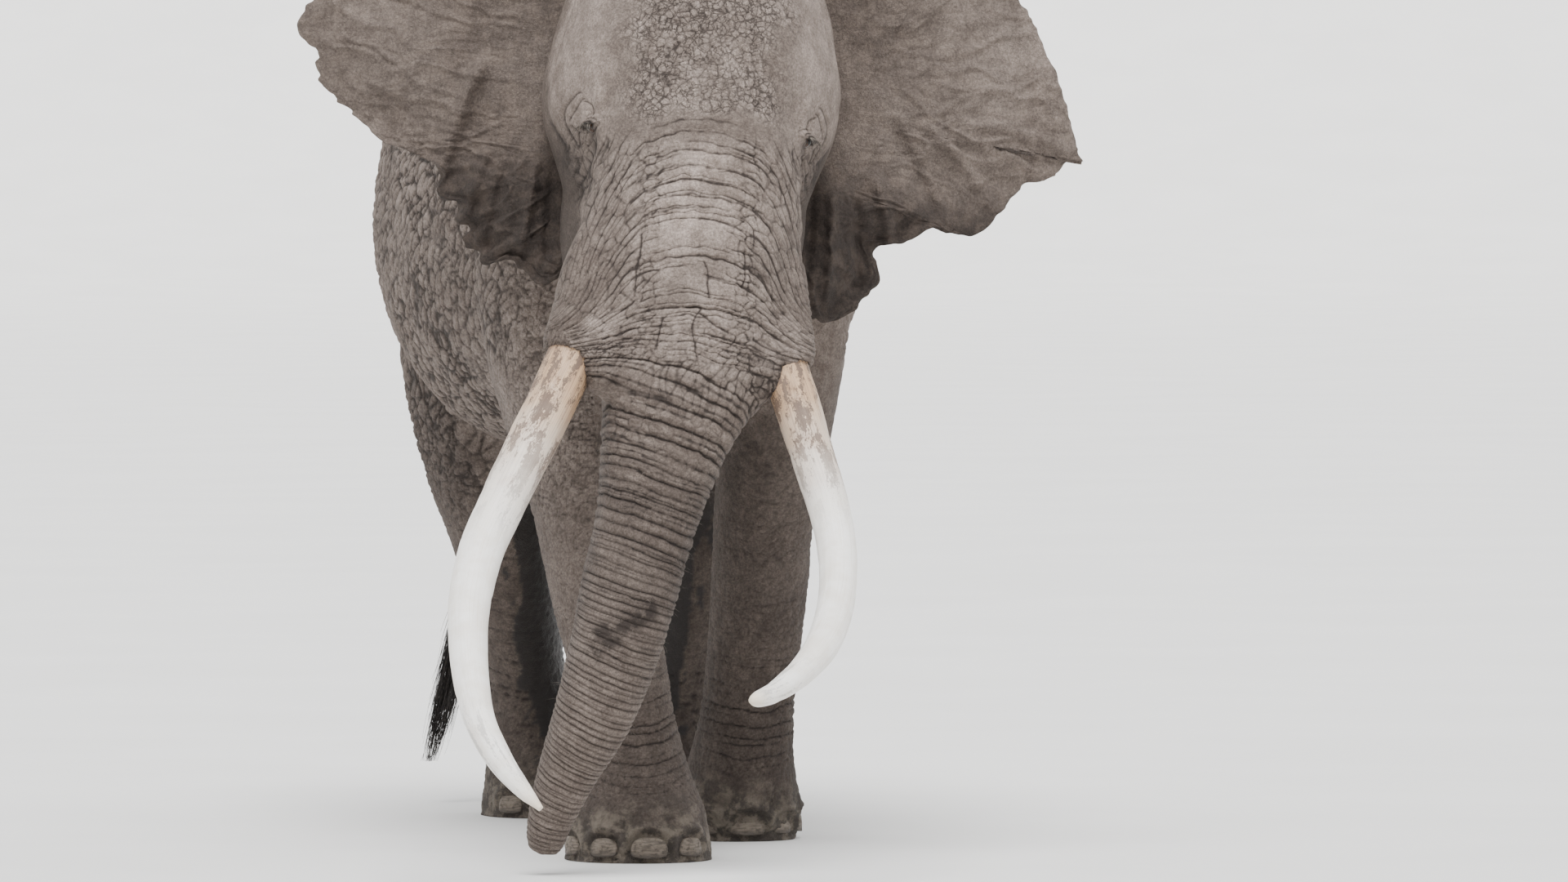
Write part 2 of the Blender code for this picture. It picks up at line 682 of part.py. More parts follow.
def add_nails(foot, group):
    for k, mesh in enumerate(nails(foot.name)):
        nail = new_object(f"{foot.name}_nail_{k}", mesh, group)
        hide_cutter(nail)
        cut_by(foot, nail, "UNION")
    apply_all(foot)
    for item in [o for o in group.objects if o.name.startswith(foot.name + "_nail_")]:
        drop(item)


# ---------------------------------------------------------------- the whole
def build():
    clear_scene()
    parts = new_collection("elephant")
    cutters = new_collection("cutters")
    head = head_frame()

    body = flesh(cutters)
    skin = swollen(body, GAP, cutters)
    ear("ear_right", -1, EAR_MARGIN_RIGHT, skin, parts)
    ear("ear_left", 1, EAR_MARGIN_LEFT, skin, parts)
    plugs = [
        tusk("tusk_right", TUSK_RIGHT, parts),
        tusk("tusk_left", TUSK_LEFT, parts),
        eye("eye_right", -1, body, parts),
        eye("eye_left", 1, body, parts),
        new_object("lower_jaw", loft("lower_jaw", LOWER_JAW, sides=14, steps=1, move=head),
                   parts, SKIN),
        new_object("tail", loft("tail", TAIL, sides=8, steps=1), parts, SKIN),
    ]
    tuft = new_object("tail_tuft", loft("tail_tuft", TAIL_TUFT, sides=8, steps=1), parts, HAIR)
    cut_by(body, floor_cutter(cutters))
    for plug in plugs:
        socket = swollen(plug, GAP, cutters)
        cut_by(body, socket)
    cut_by(tuft, socket)
    apply_all(tuft)
    outward(tuft)
    cut_by(body, thin_cuts(cutters))
    apply_all(body)
    pieces = part_flesh(body, parts)
    drop(body)
    floor = floor_cutter(cutters)
    for name in FEET:
        add_nails(pieces[name], cutters)
        cut_by(pieces[name], floor)
        apply_all(pieces[name])
        outward(pieces[name])
        pieces[name].data.materials.clear()
        pieces[name].data.materials.append(material(SKIN))
    stand_on_origin(parts)


def stand_on_origin(group):
    """Move everything so that the middle of the underside of its box is the origin."""
    corners = [v.co for item in group.objects for v in item.data.vertices]
    low = Vector(min(c[i] for c in corners) for i in range(3))
    high = Vector(max(c[i] for c in corners) for i in range(3))
    shift = Vector((-(low.x + high.x) / 2, -(low.y + high.y) / 2, -low.z))
    for item in group.objects:
        item.data.transform(Matrix.Translation(shift))


build()
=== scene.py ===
"""Looks of the walking savanna elephant bull: one wrinkled skin over all the flesh, with ivory
tusks, eyes, nails and hair of their own. Metres, +Z up; he faces -Y, his right side is at -X.
"""

import itertools
import math

import bmesh
import bpy
import numpy as np
from mathutils import Matrix, Vector
from mathutils.bvhtree import BVHTree


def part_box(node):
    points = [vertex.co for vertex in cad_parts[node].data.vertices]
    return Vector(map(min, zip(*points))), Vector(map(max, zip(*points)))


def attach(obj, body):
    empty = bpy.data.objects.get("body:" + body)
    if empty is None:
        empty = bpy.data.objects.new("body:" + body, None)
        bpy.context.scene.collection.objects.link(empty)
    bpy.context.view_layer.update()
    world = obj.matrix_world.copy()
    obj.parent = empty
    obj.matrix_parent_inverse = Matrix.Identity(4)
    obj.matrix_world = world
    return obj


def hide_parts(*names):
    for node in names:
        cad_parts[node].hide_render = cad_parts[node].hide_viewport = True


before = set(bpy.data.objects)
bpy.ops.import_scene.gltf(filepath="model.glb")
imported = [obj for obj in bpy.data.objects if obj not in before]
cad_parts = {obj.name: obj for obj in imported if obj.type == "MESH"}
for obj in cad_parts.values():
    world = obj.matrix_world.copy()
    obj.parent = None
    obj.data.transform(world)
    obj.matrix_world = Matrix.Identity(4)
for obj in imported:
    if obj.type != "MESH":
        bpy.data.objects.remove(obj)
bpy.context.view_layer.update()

# ---------------------------------------------------------------- sizes
VOXEL = 0.013
BLEND_PASSES = 13
# What lies lower than this stands on the floor.
SOLE = 0.002
HEAD_PIVOT = Vector((0.0, 0.75, 2.50))
HEAD_YAW = math.radians(4.0)
HEAD_ROLL = math.radians(4.0)
EYE_RADIUS = 0.026
EYE_PLACE = (0.352, -0.40, 2.372)
EYE_SUNK = 0.55
# Half width of the eye's opening, how far it opens up and down, and how it slopes.
LID_WIDE, LID_ABOVE, LID_BELOW, LID_TILT = 0.0205, 0.0100, 0.0080, 0.25
NAIL_THICK = 0.030
# The knobs of the body's hide are drawn out along this slope.
HIDE_LEAN = math.radians(38)
# How far round each eye the skin is divided finer, and finer again.
EYE_REGION, LID_REGION = 0.12, 0.045
TUSK_ROOT = 0.16
TUSK_SIDES, TUSK_STEPS = 56, 16
EAR_SWEEP = 0.30
EAR_CAMBER = 0.07
EAR_THICK, EAR_ROOT_THICK = 0.011, 0.040
# Steps round each ear, and out from its root on the face and on the back.
EAR_STEPS = ((360, 104, 18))
SWITCH_HAIRS = 520
LASHES, TRUNK_HAIRS, CHIN_HAIRS = 60, 420, 160

# ---------------------------------------------------------------- forms of the flesh
# Each row is x, y, z, half width across, half depth the other way.
TORSO = [
    (0.00, 0.44, 2.38, 0.36, 0.52), (0.00, 0.62, 2.35, 0.52, 0.71),
    (0.00, 0.92, 2.32, 0.63, 0.87), (0.00, 1.30, 2.26, 0.73, 0.91),
    (0.00, 1.75, 2.18, 0.79, 0.90), (0.00, 2.20, 2.175, 0.80, 0.925),
    (0.00, 2.55, 2.225, 0.775, 0.905), (0.00, 2.85, 2.275, 0.69, 0.755),
    (0.00, 3.08, 2.28, 0.56, 0.57), (0.00, 3.23, 2.26, 0.38, 0.40),
    (0.00, 3.30, 2.25, 0.20, 0.22),
]
NECK = [
    (0.00, 1.10, 2.44, 0.50, 0.66), (0.00, 0.75, 2.42, 0.47, 0.62),
    (-0.02, 0.45, 2.42, 0.42, 0.56), (-0.05, 0.20, 2.45, 0.36, 0.48),
    (-0.06, 0.05, 2.48, 0.30, 0.36),
]
FORELEG_RIGHT = [
    (-0.38, 0.98, 2.30, 0.20, 0.34), (-0.42, 0.92, 2.00, 0.22, 0.36),
    (-0.40, 0.84, 1.70, 0.215, 0.32), (-0.36, 0.74, 1.42, 0.195, 0.27),
    (-0.31, 0.64, 1.15, 0.177, 0.215), (-0.268, 0.53, 0.85, 0.168, 0.187),
    (-0.228, 0.44, 0.60, 0.160, 0.172), (-0.205, 0.38, 0.38, 0.170, 0.180),
    (-0.190, 0.335, 0.20, 0.203, 0.220), (-0.185, 0.320, 0.08, 0.236, 0.250),
    (-0.183, 0.320, 0.00, 0.242, 0.255), (-0.183, 0.320, -0.06, 0.238, 0.250),
]
FORELEG_LEFT = [
    (0.38, 1.00, 2.30, 0.20, 0.34), (0.41, 1.00, 2.00, 0.22, 0.36),
    (0.41, 1.02, 1.70, 0.21, 0.31), (0.39, 1.06, 1.42, 0.19, 0.26),
    (0.360, 1.11, 1.15, 0.172, 0.21), (0.350, 1.17, 0.85, 0.166, 0.182),
    (0.335, 1.215, 0.62, 0.158, 0.168), (0.322, 1.235, 0.44, 0.160, 0.172),
    (0.315, 1.275, 0.29, 0.176, 0.192), (0.310, 1.325, 0.17, 0.196, 0.222),
    (0.308, 1.372, 0.075, 0.212, 0.238), (0.308, 1.392, 0.030, 0.206, 0.232),
]
HIND_LEG_RIGHT = [
    (-0.34, 2.62, 2.25, 0.27, 0.50), (-0.41, 2.64, 1.90, 0.275, 0.48),
    (-0.42, 2.66, 1.55, 0.25, 0.42), (-0.385, 2.66, 1.25, 0.215, 0.335),
    (-0.315, 2.67, 0.98, 0.182, 0.265), (-0.262, 2.73, 0.72, 0.158, 0.200),
    (-0.225, 2.79, 0.50, 0.148, 0.172), (-0.195, 2.80, 0.30, 0.160, 0.180),
    (-0.180, 2.78, 0.14, 0.190, 0.216), (-0.175, 2.77, 0.05, 0.207, 0.238),
    (-0.175, 2.77, -0.06, 0.205, 0.235),
]
HIND_LEG_LEFT = [
    (0.34, 2.62, 2.25, 0.27, 0.50), (0.41, 2.62, 1.90, 0.275, 0.48),
    (0.42, 2.56, 1.55, 0.25, 0.42), (0.385, 2.48, 1.25, 0.215, 0.33),
    (0.325, 2.40, 0.98, 0.182, 0.26), (0.275, 2.36, 0.72, 0.158, 0.200),
    (0.245, 2.38, 0.50, 0.148, 0.172), (0.222, 2.38, 0.30, 0.160, 0.180),
    (0.210, 2.35, 0.14, 0.190, 0.216), (0.205, 2.34, 0.05, 0.207, 0.238),
    (0.205, 2.34, -0.06, 0.205, 0.235),
]
TRUNK = [
    (-0.135, -0.46, 2.02, 0.30, 0.24), (-0.150, -0.525, 1.83, 0.315, 0.245),
    (-0.165, -0.580, 1.64, 0.295, 0.230), (-0.215, -0.625, 1.475, 0.232, 0.205),
    (-0.258, -0.650, 1.315, 0.197, 0.188), (-0.299, -0.660, 1.134, 0.166, 0.168),
    (-0.346, -0.660, 0.952, 0.156, 0.156), (-0.388, -0.645, 0.770, 0.147, 0.146),
    (-0.434, -0.615, 0.608, 0.134, 0.132), (-0.476, -0.580, 0.476, 0.122, 0.118),
    (-0.530, -0.535, 0.342, 0.098, 0.098), (-0.573, -0.490, 0.214, 0.078, 0.080),
    (-0.592, -0.455, 0.126, 0.064, 0.066), (-0.594, -0.440, 0.075, 0.054, 0.056),
]
SHEATH_RIGHT = [
    (-0.30, -0.37, 2.12, 0.13, 0.13), (-0.405, -0.49, 1.92, 0.145, 0.145),
    (-0.460, -0.56, 1.80, 0.132, 0.132), (-0.512, -0.622, 1.705, 0.120, 0.120),
    (-0.536, -0.650, 1.662, 0.108, 0.108), (-0.541, -0.655, 1.652, 0.100, 0.100),
]
SHEATH_LEFT = [
    (0.06, -0.33, 2.10, 0.13, 0.13), (0.100, -0.47, 1.90, 0.148, 0.148),
    (0.125, -0.55, 1.78, 0.130, 0.130), (0.148, -0.625, 1.660, 0.113, 0.113),
    (0.156, -0.650, 1.613, 0.100, 0.100), (0.159, -0.655, 1.603, 0.093, 0.093),
]
# In the head's own frame, before it is turned about its pivot.
CRANIUM = [
    (0.0, 0.10, 3.05, 0.12, 0.12), (0.0, 0.07, 3.02, 0.23, 0.25),
    (0.0, 0.03, 2.93, 0.345, 0.37), (0.0, 0.00, 2.80, 0.415, 0.45),
    (0.0, -0.03, 2.66, 0.450, 0.49), (0.0, -0.06, 2.52, 0.480, 0.51),
    (0.0, -0.08, 2.40, 0.472, 0.50), (0.0, -0.10, 2.27, 0.425, 0.47),
    (0.0, -0.12, 2.12, 0.375, 0.42), (0.0, -0.10, 1.97, 0.345, 0.36),
    (0.0, -0.06, 1.85, 0.30, 0.28), (0.0, -0.02, 1.76, 0.20, 0.18),
]
FACE = [
    (0.0, -0.16, 2.72, 0.26, 0.28), (0.0, -0.26, 2.55, 0.325, 0.30),
    (0.0, -0.33, 2.38, 0.345, 0.30), (0.0, -0.385, 2.22, 0.350, 0.295),
    (0.0, -0.43, 2.08, 0.350, 0.280), (0.0, -0.49, 1.92, 0.340, 0.265),
    (0.0, -0.54, 1.80, 0.325, 0.250),
]
LOWER_JAW = [
    (0.0, 0.22, 2.00, 0.18, 0.14), (0.0, 0.08, 1.90, 0.20, 0.18),
    (0.0, -0.06, 1.79, 0.175, 0.155), (0.0, -0.17, 1.685, 0.125, 0.115),
    (0.0, -0.25, 1.60, 0.075, 0.075), (0.0, -0.30, 1.535, 0.032, 0.036),
]
HEAD_SWELLINGS = [
    ((0.27, 0.03, 2.08), (0.13, 0.27, 0.30)),
    ((0.33, -0.02, 2.54), (0.14, 0.24, 0.20)),
    ((0.305, -0.345, 2.385), (0.075, 0.075, 0.085)),
    ((0.29, -0.33, 2.47), (0.085, 0.09, 0.05)),
]
# Rolls of skin between the trunk and each tusk, where the body stands.
TUSK_FOLDS = [
    ((-0.440, -0.695, 1.645), (0.084, 0.088, 0.118)),
    ((0.064, -0.675, 1.610), (0.088, 0.083, 0.104)),
]
TUSK_RIGHT = [
    (-0.536, -0.650, 1.662, 0.080), (-0.606, -0.700, 1.523, 0.080),
    (-0.691, -0.770, 1.372, 0.078), (-0.788, -0.870, 1.205, 0.075),
    (-0.866, -0.970, 1.065, 0.072), (-0.918, -1.090, 0.921, 0.067),
    (-0.940, -1.200, 0.798, 0.061), (-0.946, -1.310, 0.676, 0.056),
    (-0.931, -1.430, 0.542, 0.049), (-0.883, -1.530, 0.427, 0.040),
    (-0.821, -1.600, 0.340, 0.028), (-0.770, -1.635, 0.283, 0.009),
]
TUSK_LEFT = [
    (0.155, -0.650, 1.613, 0.073), (0.187, -0.700, 1.489, 0.073),
    (0.224, -0.780, 1.327, 0.069), (0.256, -0.870, 1.184, 0.066),
    (0.266, -0.970, 1.056, 0.062), (0.245, -1.100, 0.914, 0.059),
    (0.186, -1.240, 0.789, 0.055), (0.098, -1.370, 0.699, 0.046),
    (-0.007, -1.490, 0.636, 0.034), (-0.074, -1.560, 0.615, 0.025),
    (-0.104, -1.590, 0.611, 0.011),
]
TAIL = [
    (0.00, 3.12, 2.74, 0.066), (0.00, 3.25, 2.64, 0.064), (-0.005, 3.345, 2.45, 0.054),
    (-0.03, 3.385, 2.18, 0.045), (-0.08, 3.400, 1.88, 0.038), (-0.14, 3.410, 1.56, 0.031),
    (-0.21, 3.425, 1.24, 0.025), (-0.275, 3.445, 0.98, 0.021), (-0.31, 3.462, 0.86, 0.019),
]
TAIL_TUFT = [
    (-0.283, 3.449, 0.95, 0.032, 0.030), (-0.318, 3.462, 0.82, 0.046, 0.041),
    (-0.355, 3.466, 0.66, 0.057, 0.047), (-0.398, 3.472, 0.45, 0.057, 0.041),
    (-0.440, 3.481, 0.27, 0.038, 0.027), (-0.470, 3.490, 0.15, 0.008, 0.008),
]
# Ears, head frame: outwards, up; from the crest round to the lobe.
EAR_ROOT_TOP = (0.34, 0.15, 2.90)
EAR_ROOT_BOTTOM = (0.33, 0.08, 2.03)
EAR_MARGIN_RIGHT = [
    (0.42, 3.00), (0.62, 3.08), (0.88, 3.05), (1.10, 2.92), (1.262, 2.66), (1.225, 2.56),
    (1.19, 2.46), (1.13, 2.40), (1.06, 2.35), (0.985, 2.285), (0.91, 2.255), (0.80, 2.215),
    (0.785, 2.13), (0.725, 2.085), (0.705, 1.99), (0.655, 1.935), (0.61, 1.905), (0.54, 1.93),
    (0.47, 1.865), (0.40, 1.875), (0.35, 1.97),
]
EAR_MARGIN_LEFT = [
    (0.42, 3.00), (0.62, 3.09), (0.88, 3.07), (1.07, 2.91), (1.20, 2.70), (1.265, 2.55),
    (1.32, 2.405), (1.335, 2.375), (1.29, 2.375), (1.22, 2.31), (1.14, 2.275), (1.07, 2.20),
    (0.99, 2.115), (0.93, 2.105), (0.84, 2.125), (0.75, 2.07), (0.665, 2.035), (0.675, 1.95),
    (0.62, 1.87), (0.56, 1.815), (0.47, 1.79), (0.40, 1.83), (0.36, 1.94),
]
# Nails: foot centre x, y, half width, half length of the sole, height, and the angles of the
# nails round the foot, from straight ahead towards the bull's left.
FEET = {
    "foot_fore_right": ((-0.183, 0.320), (0.242, 0.255), 0.048, (-72, -36, 0, 36)),
    "foot_fore_left": ((0.308, 1.385), (0.206, 0.232), 0.052, (-36, 0, 36, 72)),
    "foot_hind_right": ((-0.175, 2.770), (0.207, 0.238), 0.045, (-38, 0, 38)),
    "foot_hind_left": ((0.205, 2.340), (0.207, 0.238), 0.045, (-38, 0, 38)),
}
FLESH_NODES = [
    "head", "lower_jaw", "neck", "shoulders", "barrel", "hindquarters", "trunk_base",
    "trunk_middle", "trunk_tip", "ear_right", "ear_left", "tail", "foreleg_right_upper",
    "foreleg_right_lower", "foreleg_left_upper", "foreleg_left_lower", "hind_leg_right_upper",
    "hind_leg_right_lower", "hind_leg_left_upper", "hind_leg_left_lower", "foot_fore_right",
    "foot_fore_left", "foot_hind_right", "foot_hind_left",
]
# Great creases across the face: height at the middle, depth, and the ends in x, head frame.
FACE_CREASES = [
    (2.418, 0.0035, -0.16, 0.10), (2.380, 0.0050, -0.24, 0.20), (2.345, 0.0035, -0.05, 0.25),
    (2.318, 0.0060, -0.28, 0.24), (2.268, 0.0055, -0.20, 0.28), (2.222, 0.0045, -0.30, 0.10),
    (2.178, 0.0075, -0.14, 0.31), (2.135, 0.0060, -0.32, 0.02), (2.100, 0.0050, 0.00, 0.31),
    (1.989, 0.0095, -0.20, 0.31), (1.955, 0.0040, -0.28, -0.02), (1.925, 0.0050, 0.02, 0.30),
    (1.815, 0.0110, -0.24, 0.31), (1.778, 0.0045, -0.33, 0.05), (1.740, 0.0040, -0.34, -0.10),
    (1.715, 0.0038, 0.04, 0.33), (1.672, 0.0035, -0.30, 0.02),
]
# How fast the creases of the face fall away to the sides.
FACE_FALL, FACE_FALL_FAR, FACE_FAR = 1.25, 7.0, 0.17
# Cracks at the middle of the lower face, x and z in the head's frame.
CENTRE_CREASES = [
    [(0.008, 1.981), (0.027, 1.936), (0.035, 1.886), (0.043, 1.846)],
    [(-0.041, 1.81), (-0.011, 1.82), (0.016, 1.816), (0.001, 1.793), (-0.010, 1.751),
     (0.003, 1.691), (0.017, 1.631)],
    [(0.005, 1.808), (0.053, 1.776), (0.117, 1.745)],
    [(-0.101, 1.786), (-0.108, 1.735), (-0.119, 1.673)],
    [(-0.187, 2.064), (-0.184, 1.983), (-0.198, 1.931), (-0.201, 1.82)],
    [(0.150, 2.02), (0.158, 1.95), (0.150, 1.88)],
]
# Folds round the eyes, both sides alike: how far out and up in the head's frame, width, depth.
EYE_FOLDS = [
    ([(0.370, 2.472), (0.395, 2.478), (0.412, 2.457), (0.427, 2.428), (0.432, 2.400),
      (0.425, 2.370), (0.407, 2.338), (0.392, 2.310)], 0.0060, 0.0075),
    ([(0.365, 2.460), (0.382, 2.455), (0.392, 2.440), (0.403, 2.412), (0.412, 2.392),
      (0.414, 2.375)], 0.0050, 0.0055),
    ([(0.384, 2.447), (0.368, 2.446), (0.352, 2.437), (0.344, 2.418), (0.342, 2.395)],
     0.0045, 0.0055),
    ([(0.386, 2.350), (0.382, 2.325), (0.379, 2.296)], 0.0040, 0.0040),
    ([(0.465, 2.514), (0.478, 2.480), (0.480, 2.440), (0.474, 2.403), (0.460, 2.366),
      (0.437, 2.332), (0.418, 2.303), (0.410, 2.268)], 0.0085, 0.0080),
    ([(0.410, 2.375), (0.395, 2.358), (0.380, 2.345)], 0.0035, 0.0035),
    ([(0.400, 2.330), (0.390, 2.310), (0.380, 2.295)], 0.0035, 0.0035),
    ([(0.380, 2.270), (0.378, 2.240), (0.380, 2.210)], 0.0045, 0.0040),
    ([(0.300, 2.352), (0.302, 2.320), (0.312, 2.290), (0.328, 2.245)], 0.0055, 0.0050),
    ([(0.345, 2.335), (0.346, 2.300), (0.350, 2.270), (0.362, 2.200), (0.372, 2.100)],
     0.0180, 0.0170),
    ([(0.350, 2.520), (0.335, 2.470), (0.325, 2.400), (0.322, 2.340), (0.335, 2.270),
      (0.350, 2.200)], 0.0150, -0.0100),
]
# Folds (raised) and veins of each ear, outwards and up in the head's frame, width, height.
EAR_LINES = {
    -1: [
        ([(0.795, 2.16), (0.765, 2.30), (0.720, 2.46), (0.660, 2.60)], 0.030, 0.030),
        ([(0.700, 2.02), (0.680, 2.15), (0.640, 2.30)], 0.020, 0.018),
        ([(0.620, 1.93), (0.600, 2.08), (0.575, 2.25)], 0.020, -0.018),
        ([(0.520, 1.93), (0.500, 2.10), (0.480, 2.28)], 0.020, 0.018),
        ([(0.430, 1.90), (0.425, 2.10), (0.420, 2.30)], 0.020, -0.018),
        ([(1.170, 2.62), (1.020, 2.58), (0.900, 2.50), (0.820, 2.42)], 0.008, 0.006),
        ([(1.100, 2.52), (0.980, 2.45), (0.860, 2.42)], 0.007, 0.005),
        ([(1.000, 2.40), (0.920, 2.38), (0.850, 2.30)], 0.007, 0.005),
        ([(1.120, 2.86), (0.960, 2.76), (0.800, 2.70), (0.600, 2.68)], 0.008, 0.005),
    ],
    1: [
        ([(1.300, 2.40), (1.180, 2.44), (1.040, 2.47), (0.900, 2.46)], 0.016, 0.012),
        ([(1.200, 2.32), (1.080, 2.38), (0.960, 2.40)], 0.012, 0.009),
        ([(1.050, 2.20), (0.960, 2.30), (0.860, 2.40), (0.760, 2.48)], 0.020, 0.014),
        ([(0.860, 2.13), (0.800, 2.24), (0.730, 2.36), (0.660, 2.46)], 0.024, -0.016),
        ([(0.700, 2.04), (0.670, 2.16), (0.620, 2.30)], 0.022, 0.020),
        ([(0.600, 1.88), (0.590, 2.04), (0.560, 2.22)], 0.020, -0.018),
        ([(0.500, 1.82), (0.495, 2.02), (0.480, 2.26)], 0.020, 0.018),
        ([(0.420, 1.86), (0.420, 2.06), (0.415, 2.28)], 0.018, -0.016),
        ([(1.220, 2.66), (1.080, 2.60), (0.940, 2.58), (0.780, 2.60)], 0.008, 0.006),
        ([(1.120, 2.84), (0.980, 2.74), (0.820, 2.70)], 0.008, 0.005),
        ([(0.900, 2.98), (0.800, 2.84), (0.700, 2.74)], 0.008, 0.005),
        ([(1.020, 2.60), (0.900, 2.50), (0.800, 2.44)], 0.007, 0.006),
    ],
}
# Dark smears on the trunk: across it, and level along it.
TRUNK_STAINS = [
    [(-0.110, 0.725), (-0.045, 0.770), (0.015, 0.830), (0.085, 0.870)],
    [(-0.095, 0.660), (-0.055, 0.715), (-0.005, 0.765)],
]
# Spacing of the trunk's rings by height.
RING_SPACING = [(1.64, 0.066), (1.48, 0.056), (1.34, 0.043), (1.15, 0.031), (0.80, 0.025),
                (0.45, 0.022), (0.20, 0.019), (0.00, 0.017)]
RING_TOP = 1.565
# What the skin's material reads at each point.
# shade is painted shade; pale is dust with painted light and painted highlights; dark is dirt and
# painted shade in the creases
FIELDS = ("dark", "wet", "mud", "crack", "stain", "shade", "pale", "pink", "ear")


# ---------------------------------------------------------------- noise
def hashed(i, seed):
    """Even numbers from 0 to 1 for whole-number places."""
    i = i.astype(np.uint32)
    h = (i[:, 0] * np.uint32(0x8DA6B343)) ^ (i[:, 1] * np.uint32(0xD8163841)) \
        ^ (i[:, 2] * np.uint32(0xCB1AB31F)) ^ np.uint32((seed * 0x9E3779B1 + 7) & 0xFFFFFFFF)
    h ^= h >> np.uint32(15)
    h *= np.uint32(0x2C1B3C6D)
    h ^= h >> np.uint32(12)
    h *= np.uint32(0x297A2D39)
    h ^= h >> np.uint32(15)
    return h.astype(np.float64) / 4294967296.0


def noise(p, size, seed):
    """Smooth noise from -1 to 1 with features of about that size."""
    q = p / size
    base = np.floor(q)
    f = q - base
    f = f * f * (3 - 2 * f)
    base = base.astype(np.int64)
    total = np.zeros(len(p))
    for corner in itertools.product((0, 1), repeat=3):
        weight = np.ones(len(p))
        for axis in range(3):
            weight = weight * (f[:, axis] if corner[axis] else 1 - f[:, axis])
        total += weight * hashed(base + np.array(corner), seed)
    return total * 2 - 1


def noises(p, size, seeds):
    """One column of noise to each seed."""
    return np.column_stack([noise(p, size, seed) for seed in seeds])


def layered(p, size, seed):
    """Noise with two finer and weaker ones on it."""
    return sum(0.5 ** k * noise(p, size / 2 ** k, seed + 17 * k) for k in range(3))


def cells(p, seed, jitter):
    """Distances to the nearest and the second nearest of scattered points, one to a unit cell."""
    base = np.floor(p)
    f = p - base
    base = base.astype(np.int64)
    first = np.full(len(p), 9.0)
    second = np.full(len(p), 9.0)
    for step in itertools.product((-1, 0, 1), repeat=3):
        place = base + np.array(step)
        d = np.zeros(len(p))
        for axis in range(3):
            at = step[axis] + 0.5 + jitter * (hashed(place, seed + 101 * axis) - 0.5)
            d += (at - f[:, axis]) ** 2
        second = np.where(d < first, first, np.minimum(second, d))
        first = np.minimum(first, d)
    return np.sqrt(first), np.sqrt(second)


def seams(q, mask, seed, jitter):
    """How near the seams between scattered cells each masked place is: 0 on a seam."""
    out = np.full(len(q), 9.0)
    first, second = cells(q[mask], seed, jitter)
    out[mask] = second - first
    return out


def rise(low, high, x):
    """0 below low, 1 above high, smooth between; high may be the smaller."""
    t = np.clip((x - low) / (high - low), 0, 1)
    return t * t * (3 - 2 * t)


def bell(x, width):
    """1 at 0, and falling off to both sides."""
    return np.exp(-(x / width) ** 2)


def domed(apart):
    """Height of a round pebble, from 0 on its seam to 1."""
    return np.sqrt(np.clip(1 - (1 - np.minimum(apart, 1)) ** 2, 0, 1))


# ---------------------------------------------------------------- curves and lofts
def smooth_rows(rows, steps):
    """Catmull-Rom rows through the given ones, with so many steps to each span."""
    rows = np.array(rows, dtype=float)
    padded = np.vstack([2 * rows[0] - rows[1], rows, 2 * rows[-1] - rows[-2]])
    out = []
    for i in range(1, len(padded) - 2):
        before, start, end, after = padded[i - 1:i + 3]
        for k in range(steps):
            t = k / steps
            out.append(0.5 * (2 * start + (end - before) * t
                              + (2 * before - 5 * start + 4 * end - after) * t ** 2
                              + (3 * start - before - 3 * end + after) * t ** 3))
    out.append(padded[-2])
    return np.array(out)


def ring_frames(rows):
    """Centres, and for each the directions to its side and to its other side."""
    centres = rows[:, :3]
    tangent = np.empty_like(centres)
    tangent[1:-1] = centres[2:] - centres[:-2]
    tangent[0], tangent[-1] = centres[1] - centres[0], centres[-1] - centres[-2]
    tangent /= np.linalg.norm(tangent, axis=1, keepdims=True)
    side = np.array([1.0, 0, 0]) - tangent * tangent[:, :1]
    side /= np.linalg.norm(side, axis=1, keepdims=True)
    return centres, side, np.cross(tangent, side)


def loft(rows, sides=40, steps=6, power=2.2, taper=0.0, move=None):
    """Points and faces of a closed loft through the rows' rings."""
    rows = smooth_rows(rows, steps)
    centres, side, other = ring_frames(rows)
    angle = np.linspace(0, 2 * math.pi, sides, endpoint=False)
    c, s = np.cos(angle), np.sin(angle)
    along = np.copysign(np.abs(s) ** (2 / power), s)
    across = np.copysign(np.abs(c) ** (2 / power), c) * (1 - taper * along)
    half_side, half_other = rows[:, 3], rows[:, min(4, rows.shape[1] - 1)]
    points = (centres[:, None] + side[:, None] * (across[None, :, None] * half_side[:, None, None])
              + other[:, None] * (along[None, :, None] * half_other[:, None, None]))
    count = len(rows)
    points = points.reshape(-1, 3)
    faces = []
    for i in range(count - 1):
        for k in range(sides):
            n = (k + 1) % sides
            faces.append((i * sides + k, i * sides + n, (i + 1) * sides + n, (i + 1) * sides + k))
    ends = np.vstack([points[:sides].mean(0), points[-sides:].mean(0)])
    last = (count - 1) * sides
    for k in range(sides):
        n = (k + 1) % sides
        faces.append((len(points), n, k))
        faces.append((len(points) + 1, last + k, last + n))
    points = np.vstack([points, ends])
    if move is not None:
        points = moved(points, move)
    return points, faces


def moved(points, matrix):
    m = np.array(matrix)
    return points @ m[:3, :3].T + m[:3, 3]


def ball(centre, radii, move=None, sides=28):
    """Points and faces of an ellipsoid."""
    shape = bmesh.new()
    bmesh.ops.create_uvsphere(shape, u_segments=sides, v_segments=sides // 2, radius=1.0)
    points = np.array([v.co for v in shape.verts]) * np.array(radii) + np.array(centre)
    shape.verts.index_update()
    faces = [tuple(v.index for v in f.verts) for f in shape.faces]
    shape.free()
    return (points if move is None else moved(points, move)), faces


def gathered(parts):
    """Points and faces of several shapes as one."""
    points, faces, start = [], [], 0
    for p, f in parts:
        points.append(p)
        faces.extend(tuple(k + start for k in face) for face in f)
        start += len(p)
    return np.vstack(points), faces


